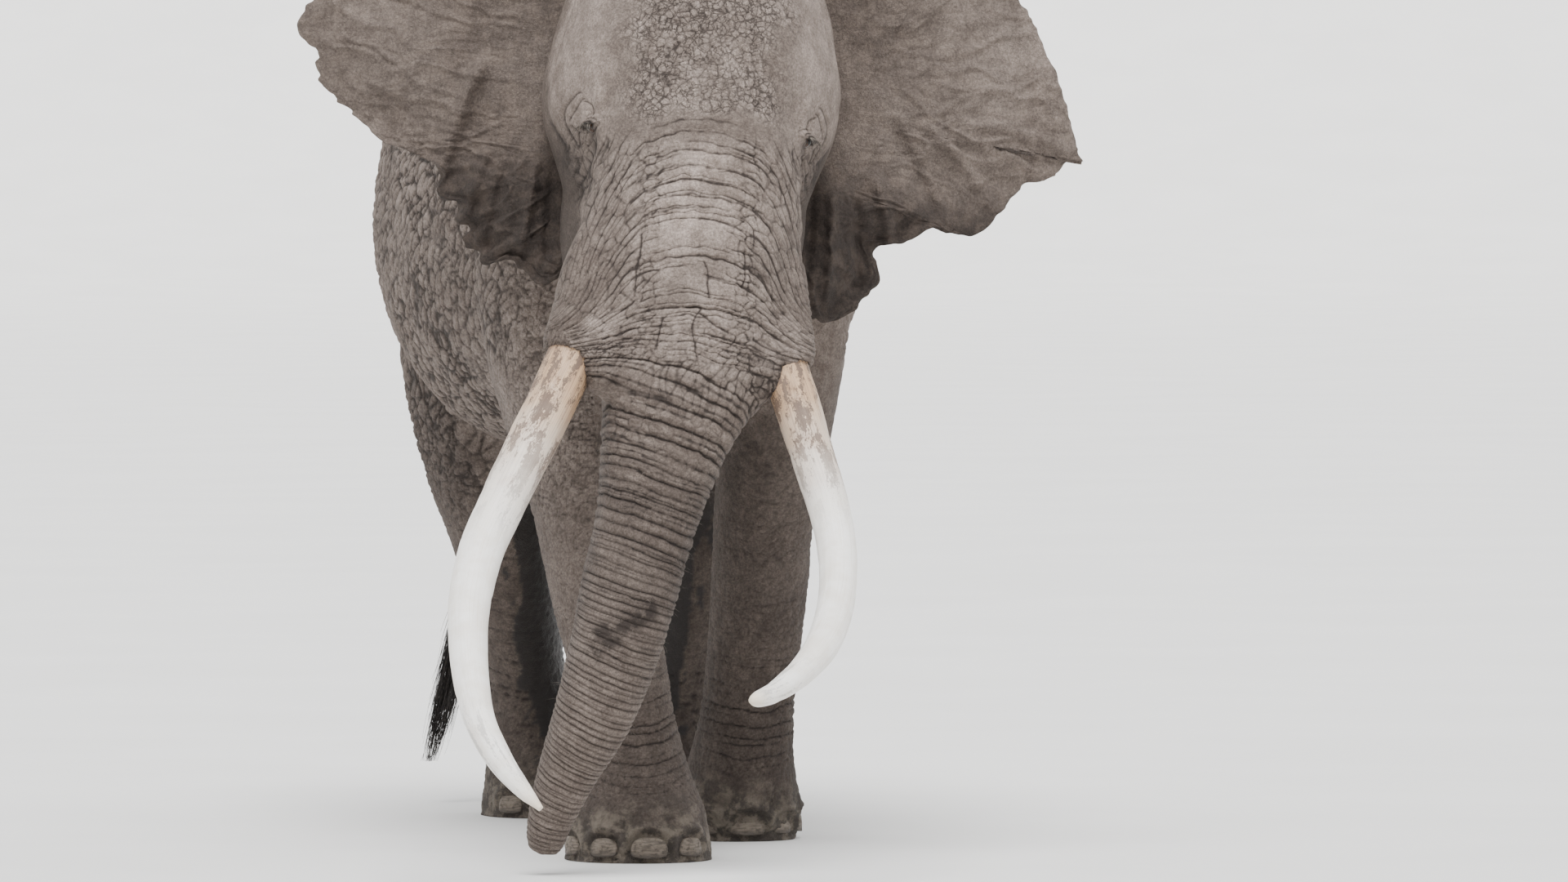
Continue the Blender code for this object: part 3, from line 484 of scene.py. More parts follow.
def head_frame():
    """How the head is turned and tipped about its pivot."""
    turn = Matrix.Rotation(-HEAD_YAW, 4, "Z") @ Matrix.Rotation(HEAD_ROLL, 4, "Y")
    return Matrix.Translation(HEAD_PIVOT) @ turn @ Matrix.Translation(-HEAD_PIVOT)


HEAD = head_frame()
UNHEAD = HEAD.inverted()


def new_mesh(name, points, faces):
    mesh = bpy.data.meshes.new(name)
    mesh.from_pydata(points.tolist() if isinstance(points, np.ndarray) else points, [], faces)
    mesh.update()
    return mesh


def new_object(name, data):
    item = bpy.data.objects.new(name, data)
    bpy.context.scene.collection.objects.link(item)
    return item


def evaluated_mesh(item):
    bpy.context.view_layer.update()
    graph = bpy.context.evaluated_depsgraph_get()
    return bpy.data.meshes.new_from_object(item.evaluated_get(graph))


def edit(mesh, change):
    """Change the mesh as a shape with editable faces."""
    shape = bmesh.new()
    shape.from_mesh(mesh)
    change(shape)
    shape.to_mesh(mesh)
    shape.free()


def face_outwards(shape):
    bmesh.ops.recalc_face_normals(shape, faces=shape.faces)


def read(items, key, width=3, kind=np.float64):
    """What each item of a mesh holds under a key, one row to an item."""
    out = np.empty(len(items) * width, dtype=kind)
    items.foreach_get(key, out)
    return out.reshape(-1, width)


def places(mesh):
    return read(mesh.vertices, "co")


def normals(mesh):
    return read(mesh.vertex_normals, "vector")


def edges_of(mesh):
    return read(mesh.edges, "vertices", 2, np.int32)


def faces_of(mesh):
    """Where each face lies and where it faces."""
    return read(mesh.polygons, "center"), read(mesh.polygons, "normal")


def put_places(mesh, co):
    mesh.vertices.foreach_set("co", np.ascontiguousarray(co, dtype=np.float64).ravel())
    mesh.update()


def attribute(mesh, name, values):
    values = np.asarray(values)
    kind, key = ("FLOAT", "value") if values.ndim == 1 else ("FLOAT_VECTOR", "vector")
    made = mesh.attributes.new(name, kind, "POINT")
    made.data.foreach_set(key, np.ascontiguousarray(values, dtype=np.float32).ravel())


def tusk_rows(rows):
    """The rows with the length that the sheath holds."""
    lip, beyond = np.array(rows[0][:3]), np.array(rows[1][:3])
    back = (lip - beyond) / np.linalg.norm(lip - beyond)
    return [(*(lip + back * TUSK_ROOT), rows[0][3])] + rows


# How far the forms above move to stand where the frame stands.
SHIFT = np.array(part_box("tusk_right")[0]) - loft(tusk_rows(TUSK_RIGHT), 12, 1)[0].min(0)


def finished(name, mesh, material, nodes=()):
    """A piece of the model, moved into the frame and declared."""
    put_places(mesh, places(mesh) + SHIFT)
    mesh.materials.clear()
    mesh.materials.append(material)
    item = new_object(name, mesh)
    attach(item, "root")
    if nodes:
        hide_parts(*nodes)
    return item


# ---------------------------------------------------------------- the skin's shape
def flesh_parts():
    """The forms that the skin is drawn over."""
    parts = [
        loft(TORSO, 64, 6, 2.2, -0.12),
        loft(NECK, 48),
        loft(CRANIUM, 64, 6, 2.3, 0.10, HEAD),
        loft(FACE, 56, 6, 2.5, 0.16, HEAD),
        loft(TRUNK, 48, 6, 2.3),
        *(loft(rows) for rows in (SHEATH_RIGHT, SHEATH_LEFT, FORELEG_RIGHT, FORELEG_LEFT,
                                  HIND_LEG_RIGHT, HIND_LEG_LEFT)),
        loft(LOWER_JAW, 28, 4, move=HEAD),
        loft(TAIL, 16, 4),
    ]
    for (x, y, z), radii in HEAD_SWELLINGS:
        for side in (-1, 1):
            parts.append(ball((side * x, y, z), radii, HEAD))
    parts.extend(ball(centre, radii) for centre, radii in TUSK_FOLDS)
    return parts


def relax(co, edges, passes, frozen=()):
    """Draw each point towards the middle of its neighbours, apart from the frozen ones."""
    a, b = edges[:, 0], edges[:, 1]
    count = np.bincount(a, minlength=len(co)) + np.bincount(b, minlength=len(co))
    count = np.maximum(count, 1)[:, None]
    for _ in range(passes):
        total = np.empty_like(co)
        for axis in range(3):
            total[:, axis] = (np.bincount(a, co[b, axis], len(co))
                              + np.bincount(b, co[a, axis], len(co)))
        step = 0.5 * (total / count - co)
        if len(frozen):
            step[frozen] = 0
        co = co + step
    return co


def divide(mesh, chosen):
    """Cut each chosen face in four."""
    def change(shape):
        shape.faces.ensure_lookup_table()
        edges = {e for i in np.flatnonzero(chosen) for e in shape.faces[int(i)].edges}
        bmesh.ops.subdivide_edges(shape, edges=list(edges), cuts=1, use_grid_fill=True)
    edit(mesh, change)


def cut_at_floor(shape):
    """Leave what stands above the floor, with level soles."""
    bmesh.ops.bisect_plane(shape, geom=shape.verts[:] + shape.edges[:] + shape.faces[:],
                           plane_co=(0, 0, 0), plane_no=(0, 0, -1), clear_outer=True)
    rim = [e for e in shape.edges if e.is_boundary]
    bmesh.ops.contextual_create(shape, geom=rim)
    bmesh.ops.triangulate(shape, faces=[f for f in shape.faces if len(f.verts) > 8])


def fused_skin():
    """The forms fused, cut level at the floor, and finer where the skin is looked at closely."""
    points, faces = gathered(flesh_parts())
    item = new_object("skin_draft", new_mesh("skin_draft", points, faces))
    remesh = item.modifiers.new("fuse", "REMESH")
    remesh.mode = "VOXEL"
    remesh.voxel_size = VOXEL
    mesh = evaluated_mesh(item)
    bpy.data.objects.remove(item, do_unlink=True)
    put_places(mesh, relax(places(mesh), edges_of(mesh), BLEND_PASSES))
    edit(mesh, cut_at_floor)

    at, facing = faces_of(mesh)
    x, y, z = at.T
    head = (y < -0.05) & (facing[:, 1] < 0.45)
    legs = (z < 1.1) & (y < 1.5) & (facing[:, 1] < 0.10) & (z > SOLE + 0.001)
    flank = (x < -0.30) & (z > 0.9) & (facing[:, 1] < 0.15) & (facing[:, 2] < 0.75)
    divide(mesh, head | legs | flank)
    at, facing = faces_of(mesh)
    x, y, z = at.T
    front = (y < -0.30) & (z < 2.46) & (facing[:, 1] < -0.05)
    front |= (z > 2.3) & (z < 2.84) & (np.abs(x) < 0.34) & (facing[:, 1] < -0.4)
    divide(mesh, front | near_eyes(at, EYE_REGION))
    divide(mesh, near_eyes(faces_of(mesh)[0], LID_REGION))
    co = places(mesh)
    put_places(mesh, relax(co, edges_of(mesh), 4, co[:, 2] < SOLE))
    return mesh


def eye_place(side):
    x, y, z = EYE_PLACE
    return HEAD @ Vector((side * x, y, z))


def near_eyes(at, reach):
    return np.min([np.linalg.norm(at - np.array(eye_place(side)), axis=1) for side in (-1, 1)],
                  axis=0) < reach


def eye_frames(mesh):
    """For each eye: the point on the skin over it, its outward, upward and sideways directions."""
    tree = BVHTree.FromPolygons([v.co for v in mesh.vertices],
                                [p.vertices for p in mesh.polygons])
    out = []
    for side in (-1, 1):
        point, outward, _, _ = tree.find_nearest(eye_place(side))
        ahead = Vector((side * 0.93, -0.37, 0.0)).normalized()
        outward = (outward + 1.2 * ahead).normalized()
        up = (Vector((0, 0, 1)) - outward * outward.z).normalized()
        out.append((np.array(point), np.array(outward), np.array(up),
                    np.array(up.cross(outward)) * side, side))
    return out


def nearest(q, line):
    """How far each point is from a line, and how many of its pieces it lies along."""
    best, at = np.full(len(q), 1e9), np.zeros(len(q))
    for k in range(len(line) - 1):
        a, ab = line[k], line[k + 1] - line[k]
        t = np.clip((q - a) @ ab / (ab @ ab), 0, 1)
        d = ((q - a - t[:, None] * ab) ** 2).sum(1)
        closer = d < best
        best[closer] = d[closer]
        at[closer] = k + t[closer]
    return np.sqrt(best), at


def lengths_along(line):
    return np.concatenate([[0], np.cumsum(np.linalg.norm(np.diff(line, axis=0), axis=1))])


class Along:
    """Where points lie along a limb: how far down it, to its side and ahead of it, and how near."""

    def __init__(self, p, rows, mask):
        rows = smooth_rows(rows, 4)
        centres, side, other = ring_frames(rows)
        length = lengths_along(centres)
        q = p[mask]
        apart, at = nearest(q, centres)
        low = np.minimum(at.astype(int), len(centres) - 2)
        f = (at - low)[:, None]
        middle = centres[low] * (1 - f) + centres[low + 1] * f
        off = q - middle
        across = (off * side[low]).sum(1)
        ahead = (off * other[low]).sum(1)
        size = np.interp(at, np.arange(len(rows)), rows[:, 3])
        self.mask = mask
        self.length = self.spread(length[low] + f[:, 0] * (length[low + 1] - length[low]), p)
        self.across = self.spread(across, p)
        self.ahead = self.spread(ahead, p)
        self.near = self.spread(apart / size, p, 9.0)
        self.size = self.spread(size, p)
        self.heights, self.lengths = centres[:, 2], length

    def spread(self, values, p, fill=0.0):
        out = np.full(len(p), fill)
        out[self.mask] = values
        return out


def ring_levels():
    """Levels of the grooves between the trunk's rings."""
    heights, gaps = zip(*RING_SPACING)
    level, out, k = RING_TOP, [], 0
    while level > -0.05:
        out.append(level)
        jitter = hashed(np.array([[k, 3, 5]]), 11)[0]
        level -= np.interp(level, heights[::-1], gaps[::-1]) * (0.72 + 0.56 * jitter)
        k += 1
    return np.array(out)


def uneven_levels(top, bottom, gap, sway, turn):
    """Levels a gap apart, each swayed a little up or down."""
    levels = np.arange(top, bottom, -gap)
    return levels + sway * np.sin(turn * np.arange(len(levels)))


def rolls(level, across, grooves, depths, seed, share):
    """Round rolls between grooves at the given levels, highest first; the grooves come and go
    along their run, down to that share of their depth."""
    spot = np.clip(np.searchsorted(-grooves, -level), 1, len(grooves) - 1)
    above, under = grooves[spot - 1], grooves[spot]
    c = np.abs(2 * (above - level) / (above - under) - 1)
    c = np.clip(np.minimum(c, 2 - c), 0, 1)
    k = np.where(2 * level > above + under, spot - 1, spot)
    run = noise(np.column_stack([across * 5.0, k * 3.17, np.full(len(k), seed * 1.3)]), 1.0, seed)
    strength = np.maximum(share + (1 - share) * rise(-0.5, 0.2, run), 0)
    depth = (depths + np.zeros(len(grooves)))[k]
    return -depth * strength * (1 - np.sqrt(1 - c * c)), strength * rise(0.72, 0.95, c)


def furrow(p, line, width, depth):
    """A groove (or a ridge, if depth is negative) along a line seen from the front."""
    line = smooth_rows(line, 5)
    apart, at = nearest(p[:, [0, 2]], line)
    end = at / (len(line) - 1)
    strength = rise(0.0, 0.15, end) * rise(1.0, 0.85, end)
    ink = bell(apart, 0.6 * width) * strength * (depth > 0)
    return -depth * bell(apart, width) * strength, ink


# ---------------------------------------------------------------- the skin's relief
# Lifts and widths are metres. A fold's weight says where it is, and its ink how dark its lines
# are, as dirt and painted shade in them. The whole numbers given to noises and seams are their seeds.
class Skin:
    """The skin's points, how far each is to be lifted, and what the material reads there."""

    def __init__(self, mesh):
        self.p, self.n = places(mesh), normals(mesh)
        self.h = moved(self.p, UNHEAD)
        self.z, self.hy, self.hz = self.p[:, 2], self.h[:, 1], self.h[:, 2]
        self.facing = (self.n @ np.array(UNHEAD)[:3, :3].T)[:, 1]
        self.front = rise(0.30, -0.12, self.facing)
        self.side = np.abs(self.h[:, 0])
        self.lift = np.zeros(len(self.p))
        self.fields = {name: np.zeros(len(self.p)) for name in FIELDS}
        self.forelegs = np.zeros(len(self.p))
        self.warp, self.fine = noises(self.p, 0.09, (1, 2, 3)), noises(self.p, 0.03, (4, 5, 6))

    def fold(self, weight, lift, ink=0.0, share=1.0):
        """Lift the skin where the weight is, and darken it there by a share of the ink."""
        self.lift += weight * lift
        self.fields["dark"] += weight * ink * share

    def most(self, name, values):
        """Bring a field up to the values."""
        self.fields[name] = np.maximum(self.fields[name], values)


def lay_levels(skin):
    """Levels that sag across the face and run on into the trunk's rings, and places along them."""
    p, h, side = skin.p, skin.h, skin.side
    z, hy, hz = skin.z, skin.hy, skin.hz
    trunk = Along(p, TRUNK, (p[:, 1] < -0.15) & (z < 2.15))
    by_trunk = trunk.near < 1.6
    below = rise(1.88, 1.58, z) * by_trunk
    at_top = np.interp(-RING_TOP, -trunk.heights, trunk.lengths)
    fall = FACE_FALL * side ** 2 + FACE_FALL_FAR * np.maximum(side - FACE_FAR, 0) ** 2
    ring_level = RING_TOP - (trunk.length - at_top) + 0.10 * trunk.across
    smooth = (hz + fall) * (1 - below) + ring_level * below
    gap = np.interp(smooth, *[v[::-1] for v in zip(*RING_SPACING)])
    level = smooth + np.minimum(0.16 * gap, 0.008) * skin.warp[:, 2] + 0.07 * gap * skin.fine[:, 2]
    steps = np.linspace(0, 0.6, 121)
    slope = 2 * FACE_FALL * steps + 2 * FACE_FALL_FAR * np.maximum(steps - FACE_FAR, 0)
    run = np.concatenate([[0], np.cumsum(np.sqrt(1 + slope[1:] ** 2) * np.diff(steps))])
    along = np.sign(h[:, 0]) * np.interp(side, steps, run)
    skin.trunk, skin.by_trunk, skin.gap, skin.level = trunk, by_trunk, gap, level
    skin.across = along * (1 - below) + (trunk.across + 0.15) * below
    skin.on_trunk = rise(1.62, 1.57, level) * by_trunk
    skin.on_face = skin.front * rise(2.50, 2.42, hz) * rise(-0.10, -0.24, hy) \
        * rise(1.50, 1.62, level)


def face_creases(skin):
    """Great creases across the face, smaller ones between them, and steep folds at its sides."""
    p, h, side, warp, fine = skin.p, skin.h, skin.side, skin.warp, skin.fine
    hy, hz = skin.hy, skin.hz
    level, across, on_face = skin.level, skin.across, skin.on_face
    aside = rise(0.15, 0.23, side)
    upper = on_face * rise(1.57, 1.61, level)
    heights, depths, left, right = np.array(FACE_CREASES).T
    spot = np.abs(level[:, None] - heights[None]).argmin(1)
    away = level - heights[spot] + 0.003 * fine[:, 0]
    ends = rise(left[spot] - 0.04, left[spot] + 0.03, h[:, 0]) \
        * rise(right[spot] + 0.04, right[spot] - 0.03, h[:, 0])
    deep = depths[spot] * (0.75 + 0.35 * noise(p, 0.11, 9))
    jagged = 0.0040 + 0.0016 * noise(p, 0.014, 24)
    skin.fold(upper * ends, -deep * (0.65 * bell(away, 0.0065) + 0.35 * bell(away, 0.024)),
              bell(away, jagged) * (0.75 + 0.4 * noise(p, 0.02, 25)))

    # small lines that run with the great ones, and come and go
    minor = uneven_levels(2.44, 1.62, 0.0225, 0.006, 2.7)
    cut, ink = rolls(level + 0.004 * fine[:, 1], across, minor, 0.0055, 26, -0.25)
    weight = upper * rise(2.44, 2.36, level) * rise(-0.6, 0.35, noise(p, 0.16, 27) + 2 * side)
    skin.fold(weight * (1 - aside), cut, ink, 0.75)

    # the sides of the face: steep folds, cut across into lozenges
    cheek = on_face * aside * rise(2.42, 2.26, hz)
    sweep = uneven_levels(2.95, 1.55, 0.060, 0.010, 2.1)
    cut, ink = rolls(level + 0.006 * fine[:, 1], hz, sweep, 0.0075, 36, 0.25)
    skin.fold(cheek, cut, ink, 0.90)
    q = np.column_stack([level / 0.056, (0.36 * side - 0.93 * hz) / 0.066, hy / 0.070])
    apart = seams(q + 0.22 * warp, (on_face > 0.01) & (side > 0.14), 35, 0.8)
    skin.fold(cheek, -0.0062 * (1 - domed(apart)), bell(apart, 0.12), 0.62)

    # a net of creases, square towards the sides of the face
    for width, tall, depth, ink_share, seed, reach in (
            (0.046, 0.030, 0.0090, 1.05, 31, 0.15), (0.022, 0.017, 0.0028, 0.60, 32, 0.19)):
        q = np.column_stack([across / width + 0.30 * warp[:, 0], np.full(len(p), 0.5),
                             level / tall + 0.30 * warp[:, 1]])
        apart = seams(q, on_face > 0.01, seed, 0.72)
        strength = (0.28 + 0.72 * rise(0.07, 0.20, side)) * rise(2.44, 2.30, hz)
        strength = np.maximum(strength, 0.8 * rise(1.80, 1.72, level))
        strength *= 0.75 + 0.40 * noise(p, 0.10, seed + 5)
        weight = on_face * np.clip(strength, 0, 1) * (1 - 0.85 * aside * rise(1.62, 1.72, level))
        skin.fold(weight, -depth * (1 - domed(apart)), bell(apart, reach), ink_share)

    middle = (skin.facing < -0.2) * rise(-0.3, -0.4, hy)
    for line in CENTRE_CREASES:
        cut, ink = furrow(h + 0.005 * warp + 0.003 * fine, line, 0.0050, 0.0060)
        skin.fold(middle, cut, ink)


def trunk_rings(skin):
    """Round ribs between deep grooves, with finer lines, beads and short creases on them."""
    p, warp, trunk = skin.p, skin.warp, skin.trunk
    level, across, gap, on_trunk = skin.level, skin.across, skin.gap, skin.on_trunk
    grooves = ring_levels()
    gaps = np.abs(np.gradient(grooves))
    round_way = rise(-0.75, -0.1, trunk.ahead / np.maximum(trunk.size, 1e-3))
    cut, ink = rolls(level, across, grooves, np.minimum(0.003 + 0.24 * gaps, 0.0150), 21, 0.55)
    skin.fold(on_trunk * (0.35 + 0.65 * round_way), cut, ink, 1.0)
    # painted highlights on the tops of the ribs
    skin.most("pale", 0.26 * on_trunk * rise(-0.0020, -0.0002, cut))
    halves = grooves - (0.5 + 0.16 * np.sin(1.9 * np.arange(len(grooves)))) * gaps
    cut, ink = rolls(level, across + 0.3, halves, 0.10 * gaps, 22, -0.5)
    skin.fold(on_trunk, cut, ink, 0.75)

    # beads and short creases across the rings
    q = np.column_stack([across / 0.036 + 0.25 * warp[:, 0], np.full(len(p), 0.5),
                         level / np.maximum(0.9 * gap, 0.02) + 0.2 * warp[:, 1]])
    apart = seams(q, on_trunk > 0.01, 33, 0.85)
    strong = on_trunk * rise(0.75, 1.35, level) * (0.65 + 0.35 * noise(p, 0.12, 34))
    skin.fold(strong, -0.0070 * bell(apart, 0.34), bell(apart, 0.15), 0.72)
    skin.fold(on_trunk, 0.0016 * noise(p, 0.022, 23) + 0.0010 * noise(p, 0.011, 28))


def face_colours(skin):
    """Dust and painted light on the face, painted shade on cheeks and trunk, trunk smears."""
    p, side, warp, trunk = skin.p, skin.side, skin.warp, skin.trunk
    z, hy, hz = skin.z, skin.hy, skin.hz
    front, level, on_trunk = skin.front, skin.level, skin.on_trunk
    patchy = layered(p, 0.11, 29)
    # painted light together with dust on the front of the face, the lower face and the temples
    lit = bell(side / 0.26, 1.0) * rise(2.40, 2.28, hz) * rise(1.80, 2.12, hz)
    skin.most("pale", front * np.clip(lit * (0.85 + 0.40 * patchy), 0, 1)
              * (p[:, 1] < -0.2))
    skin.most("pale", 0.56 * front * (p[:, 1] < -0.2) * rise(1.42, 1.62, level)
              * rise(2.10, 1.95, level) * np.clip(0.7 + 0.6 * patchy, 0, 1))
    skin.most("pale", 0.48 * front * rise(0.24, 0.34, side) * rise(2.30, 2.42, hz)
              * rise(-0.02, -0.14, hy))
    # painted shade down the trunk, at its end by the floor, and on the cheeks
    skin.most("shade", on_trunk * rise(1.58, 1.25, level) * (0.20 + 0.34 * bell(level - 1.0, 0.30))
              * (1 + 0.25 * patchy))
    skin.most("shade", 0.80 * skin.by_trunk * rise(0.095, 0.055, z + 0.010 * warp[:, 0]))
    skin.most("shade", 0.66 * rise(0.345, 0.385, side) * rise(-0.37, -0.27, hy)
              * rise(2.30, 2.16, hz) * (hz > 1.7) * (hy < 0.35))
    unrolled = np.column_stack([trunk.across, trunk.across, level])
    unrolled += 0.016 * warp + 0.007 * skin.fine
    for line in TRUNK_STAINS:
        _, smear = furrow(unrolled, line, 0.046, 1.0)
        skin.most("stain", 1.1 * smear * rise(-0.9, 0.2, layered(p, 0.030, 81))
                  * rise(0.0, 0.06, trunk.ahead))


def brow_and_eyes(skin):
    """The cracked forehead, the folds round the eyes and the pleats before the ears."""
    p, h, side, warp, fine = skin.p, skin.h, skin.side, skin.warp, skin.fine
    hy, hz = skin.hy, skin.hz
    ragged = 0.05 * noise(p, 0.10, 43) + 0.02 * noise(p, 0.035, 44)
    brow = skin.front * rise(2.35, 2.47, hz + 1.4 * ragged) * rise(0.365, 0.185, side + 1.4 * ragged)
    uneven = np.clip(0.92 + 0.25 * noise(p, 0.12, 45), 0.72, 1)
    for size, depth, seed, ink in ((0.0265, 0.0036, 41, 0.90), (0.0130, 0.0016, 42, 0.42)):
        q = (p + 0.010 * warp + 0.004 * fine) / size
        apart = seams(q, brow > 0.01, seed, 0.95)
        skin.fold(brow * uneven, -depth * (1 - domed(apart)), bell(apart, 0.105), ink)
        # painted highlights on the tops of the forehead's plates
        skin.most("pale", brow * (0.20 + 18 * size) * rise(0.12, 0.45, apart))
    skin.most("crack", brow * (0.5 + 0.5 * uneven))
    # the forehead paler: dust together with painted light
    skin.most("pale", brow * (0.48 + 0.24 * rise(-0.2, 0.5, noise(p, 0.08, 46))))

    near_front = rise(0.05, -0.15, hy) * (hz > 1.9)
    mirrored = h + 0.0045 * warp + 0.0015 * fine
    mirrored[:, 0] = np.abs(h[:, 0]) + 0.0045 * warp[:, 0]
    for line, width, depth in EYE_FOLDS:
        cut, ink = furrow(mirrored, line, width, depth)
        skin.fold(near_front, cut, ink, 0.8 if width < 0.01 else 0.42)
    # fine lines that fan out behind and below each eye
    fan = bell(np.hypot(side - 0.40, hz - 2.36), 0.085) * near_front
    turn = np.arctan2(hz - 2.385, side - 0.330 + 0.012 * warp[:, 0])
    wave = np.abs(np.sin(turn * 7.5 + 2.0 * noise(p, 0.05, 47)))
    skin.fold(fan, -0.0022 * bell(wave, 0.35), bell(wave, 0.22), 0.40)
    # painted shade in the hollow at the inner corner of each eye, over a shallow dip
    hollow = bell(np.hypot((side - 0.336) / 0.013, (hz - 2.350) / 0.042), 1.0)
    skin.fold(near_front, -0.004 * hollow, hollow, 0.55)
    above = bell(np.hypot((side - 0.362) / 0.022, (hz - 2.412) / 0.012), 1.0) * near_front
    skin.most("pale", 0.9 * above)

    pleats = rise(2.46, 2.60, hz) * bell(side - 0.42, 0.075) * rise(-0.27, -0.12, hy)
    wave = np.abs(np.sin((hy + 0.35 * side + 0.012 * warp[:, 0]) / 0.026 * math.pi / 2))
    skin.fold(pleats, 0.012 * (wave ** 0.6 - 0.6), bell(wave, 0.30), 0.95)

    # painted shade on the cheek behind the face's edge, under the temple and ear
    behind = rise(-0.26, -0.16, hy) * (hz < 2.45) * (hy < 0.35) * (hz > 1.7)
    skin.most("shade", 0.62 * behind * rise(2.42, 2.25, hz))
    gland = np.hypot(side - 0.402 + 0.01 * warp[:, 0], (hz - 2.255) * 0.33)
    skin.most("stain", 0.85 * bell(gland, 0.014) * near_front * rise(-0.5, 0.2, noise(p, 0.02, 82)))


def legs(skin):
    """Folds that sag round the legs, painted shade on them, and wet and muddy skin."""
    p, z, warp, fine = skin.p, skin.z, skin.warp, skin.fine
    lines = uneven_levels(1.5, 0.03, 0.033, 0.008, 2.3)
    for rows, seed, shade in ((FORELEG_RIGHT, 51, 0.20), (FORELEG_LEFT, 52, 0.46),
                              (HIND_LEG_RIGHT, 53, 0.30), (HIND_LEG_LEFT, 54, 0.44)):
        x, y = np.mean([r[:2] for r in rows], axis=0)
        hind = y > 2.0
        near = (z < 1.75) & (np.abs(p[:, 1] - y) < 0.9) \
            & (np.sign(x) * p[:, 0] > -0.06) & (p[:, 1] > -0.05)
        leg = Along(p, rows, near)
        on_leg = (leg.near < 1.5) * rise(1.65, 1.25, z)
        if not hind:
            skin.forelegs = np.maximum(skin.forelegs,
                                       rise(1.6, 1.2, leg.near) * rise(1.75, 1.55, z))
        sag = 1.5 * np.clip(leg.across, -0.2, 0.2) ** 2
        level = z - sag + 0.009 * warp[:, 2] + 0.003 * fine[:, 2]
        fold_at = 0.46 if hind else 0.40
        strong = 0.0020 + 0.0110 * bell(lines - fold_at, 0.14)
        cut, ink = rolls(level, leg.across * 0.8, lines, strong, seed, -0.1)
        skin.fold(on_leg * rise(0.10, 0.16, z), cut,
                  ink * (0.30 + 0.80 * bell(level - fold_at, 0.16)))
        q = np.column_stack([p[:, 0] / 0.030, p[:, 1] / 0.030, level / 0.026])
        apart = seams(q, on_leg > 0.01, seed + 10, 0.9)
        skin.fold(on_leg, -0.0036 * bell(apart, 0.24), bell(apart, 0.12), 0.50)
        skin.fold(on_leg, 0.010 * bell(z - 0.17, 0.05) * rise(0.0, 0.1, leg.ahead))
        # painted shade: more on the left foreleg and the hind legs, and more towards the feet
        dim = shade + 0.18 * rise(0.7, 0.25, z) + 0.10 * noise(p, 0.15, seed + 20)
        skin.most("shade", np.clip(on_leg, 0, 1) * np.clip(dim, 0, 1))
        if hind:
            inner = rise(0.07, -0.05, leg.across * np.sign(x))
            run = layered(p * (1.0, 1.0, 0.5), 0.15, 61)
            splash = rise(0.03, 0.050, inner * 1.1 - 0.66 + 0.42 * run)
            splash = np.maximum(splash, rise(0.45, 0.55, layered(p, 0.05, 63)) * (inner > 0.1))
            skin.most("wet", on_leg * splash * rise(1.25, 1.05, z))
        skin.most("mud", (leg.near < 1.7) * rise(0.23, 0.06, z + 0.06 * layered(p, 0.07, 62)))
        skin.fields["crack"] += 0.5 * (leg.near < 1.7) * rise(0.20, 0.10, z)


def nail_places():
    """For each nail: its number on its foot, its middle, the direction outwards, and whether it
    points straight ahead."""
    for (x, y), (half_side, half_long), height, angles in FEET.values():
        for k, degrees in enumerate(angles):
            turn = math.radians(degrees)
            middle = np.array([x + half_side * math.sin(turn), y - half_long * math.cos(turn),
                               height])
            out = np.array([math.sin(turn) / half_side, -math.cos(turn) / half_long, 0])
            yield k, middle, out / np.linalg.norm(out), degrees == 0


def toes(skin):
    """The flesh round each nail, the toe that carries it, and the clefts beside the toe."""
    p, z = skin.p, skin.z
    for _, middle, out, foremost in nail_places():
        off = p - middle
        beyond = np.abs(off[:, :2] @ out[:2])
        aside = np.abs(off[:, 0] * -out[1] + off[:, 1] * out[0])
        wide, tall = (0.066, 0.050) if foremost else (0.054, 0.046)
        e = np.hypot(aside / wide, off[:, 2] / tall)
        e = np.where((beyond < 0.09) & (z < 0.16), e, 9.0)
        skin.fold(1.0, 0.0090 * bell(e - 1.35, 0.28) * rise(0.02, 0.06, z),
                  0.85 * bell(e - 1.02, 0.12))
        toe = (beyond < 0.12) * bell(z - 0.085, 0.085) * rise(0.95, 1.35, e)
        skin.fold(toe, 0.024 * bell(aside, 0.060) - 0.007 * bell(aside, 0.12),
                  bell(aside - 0.078, 0.007), 0.55)


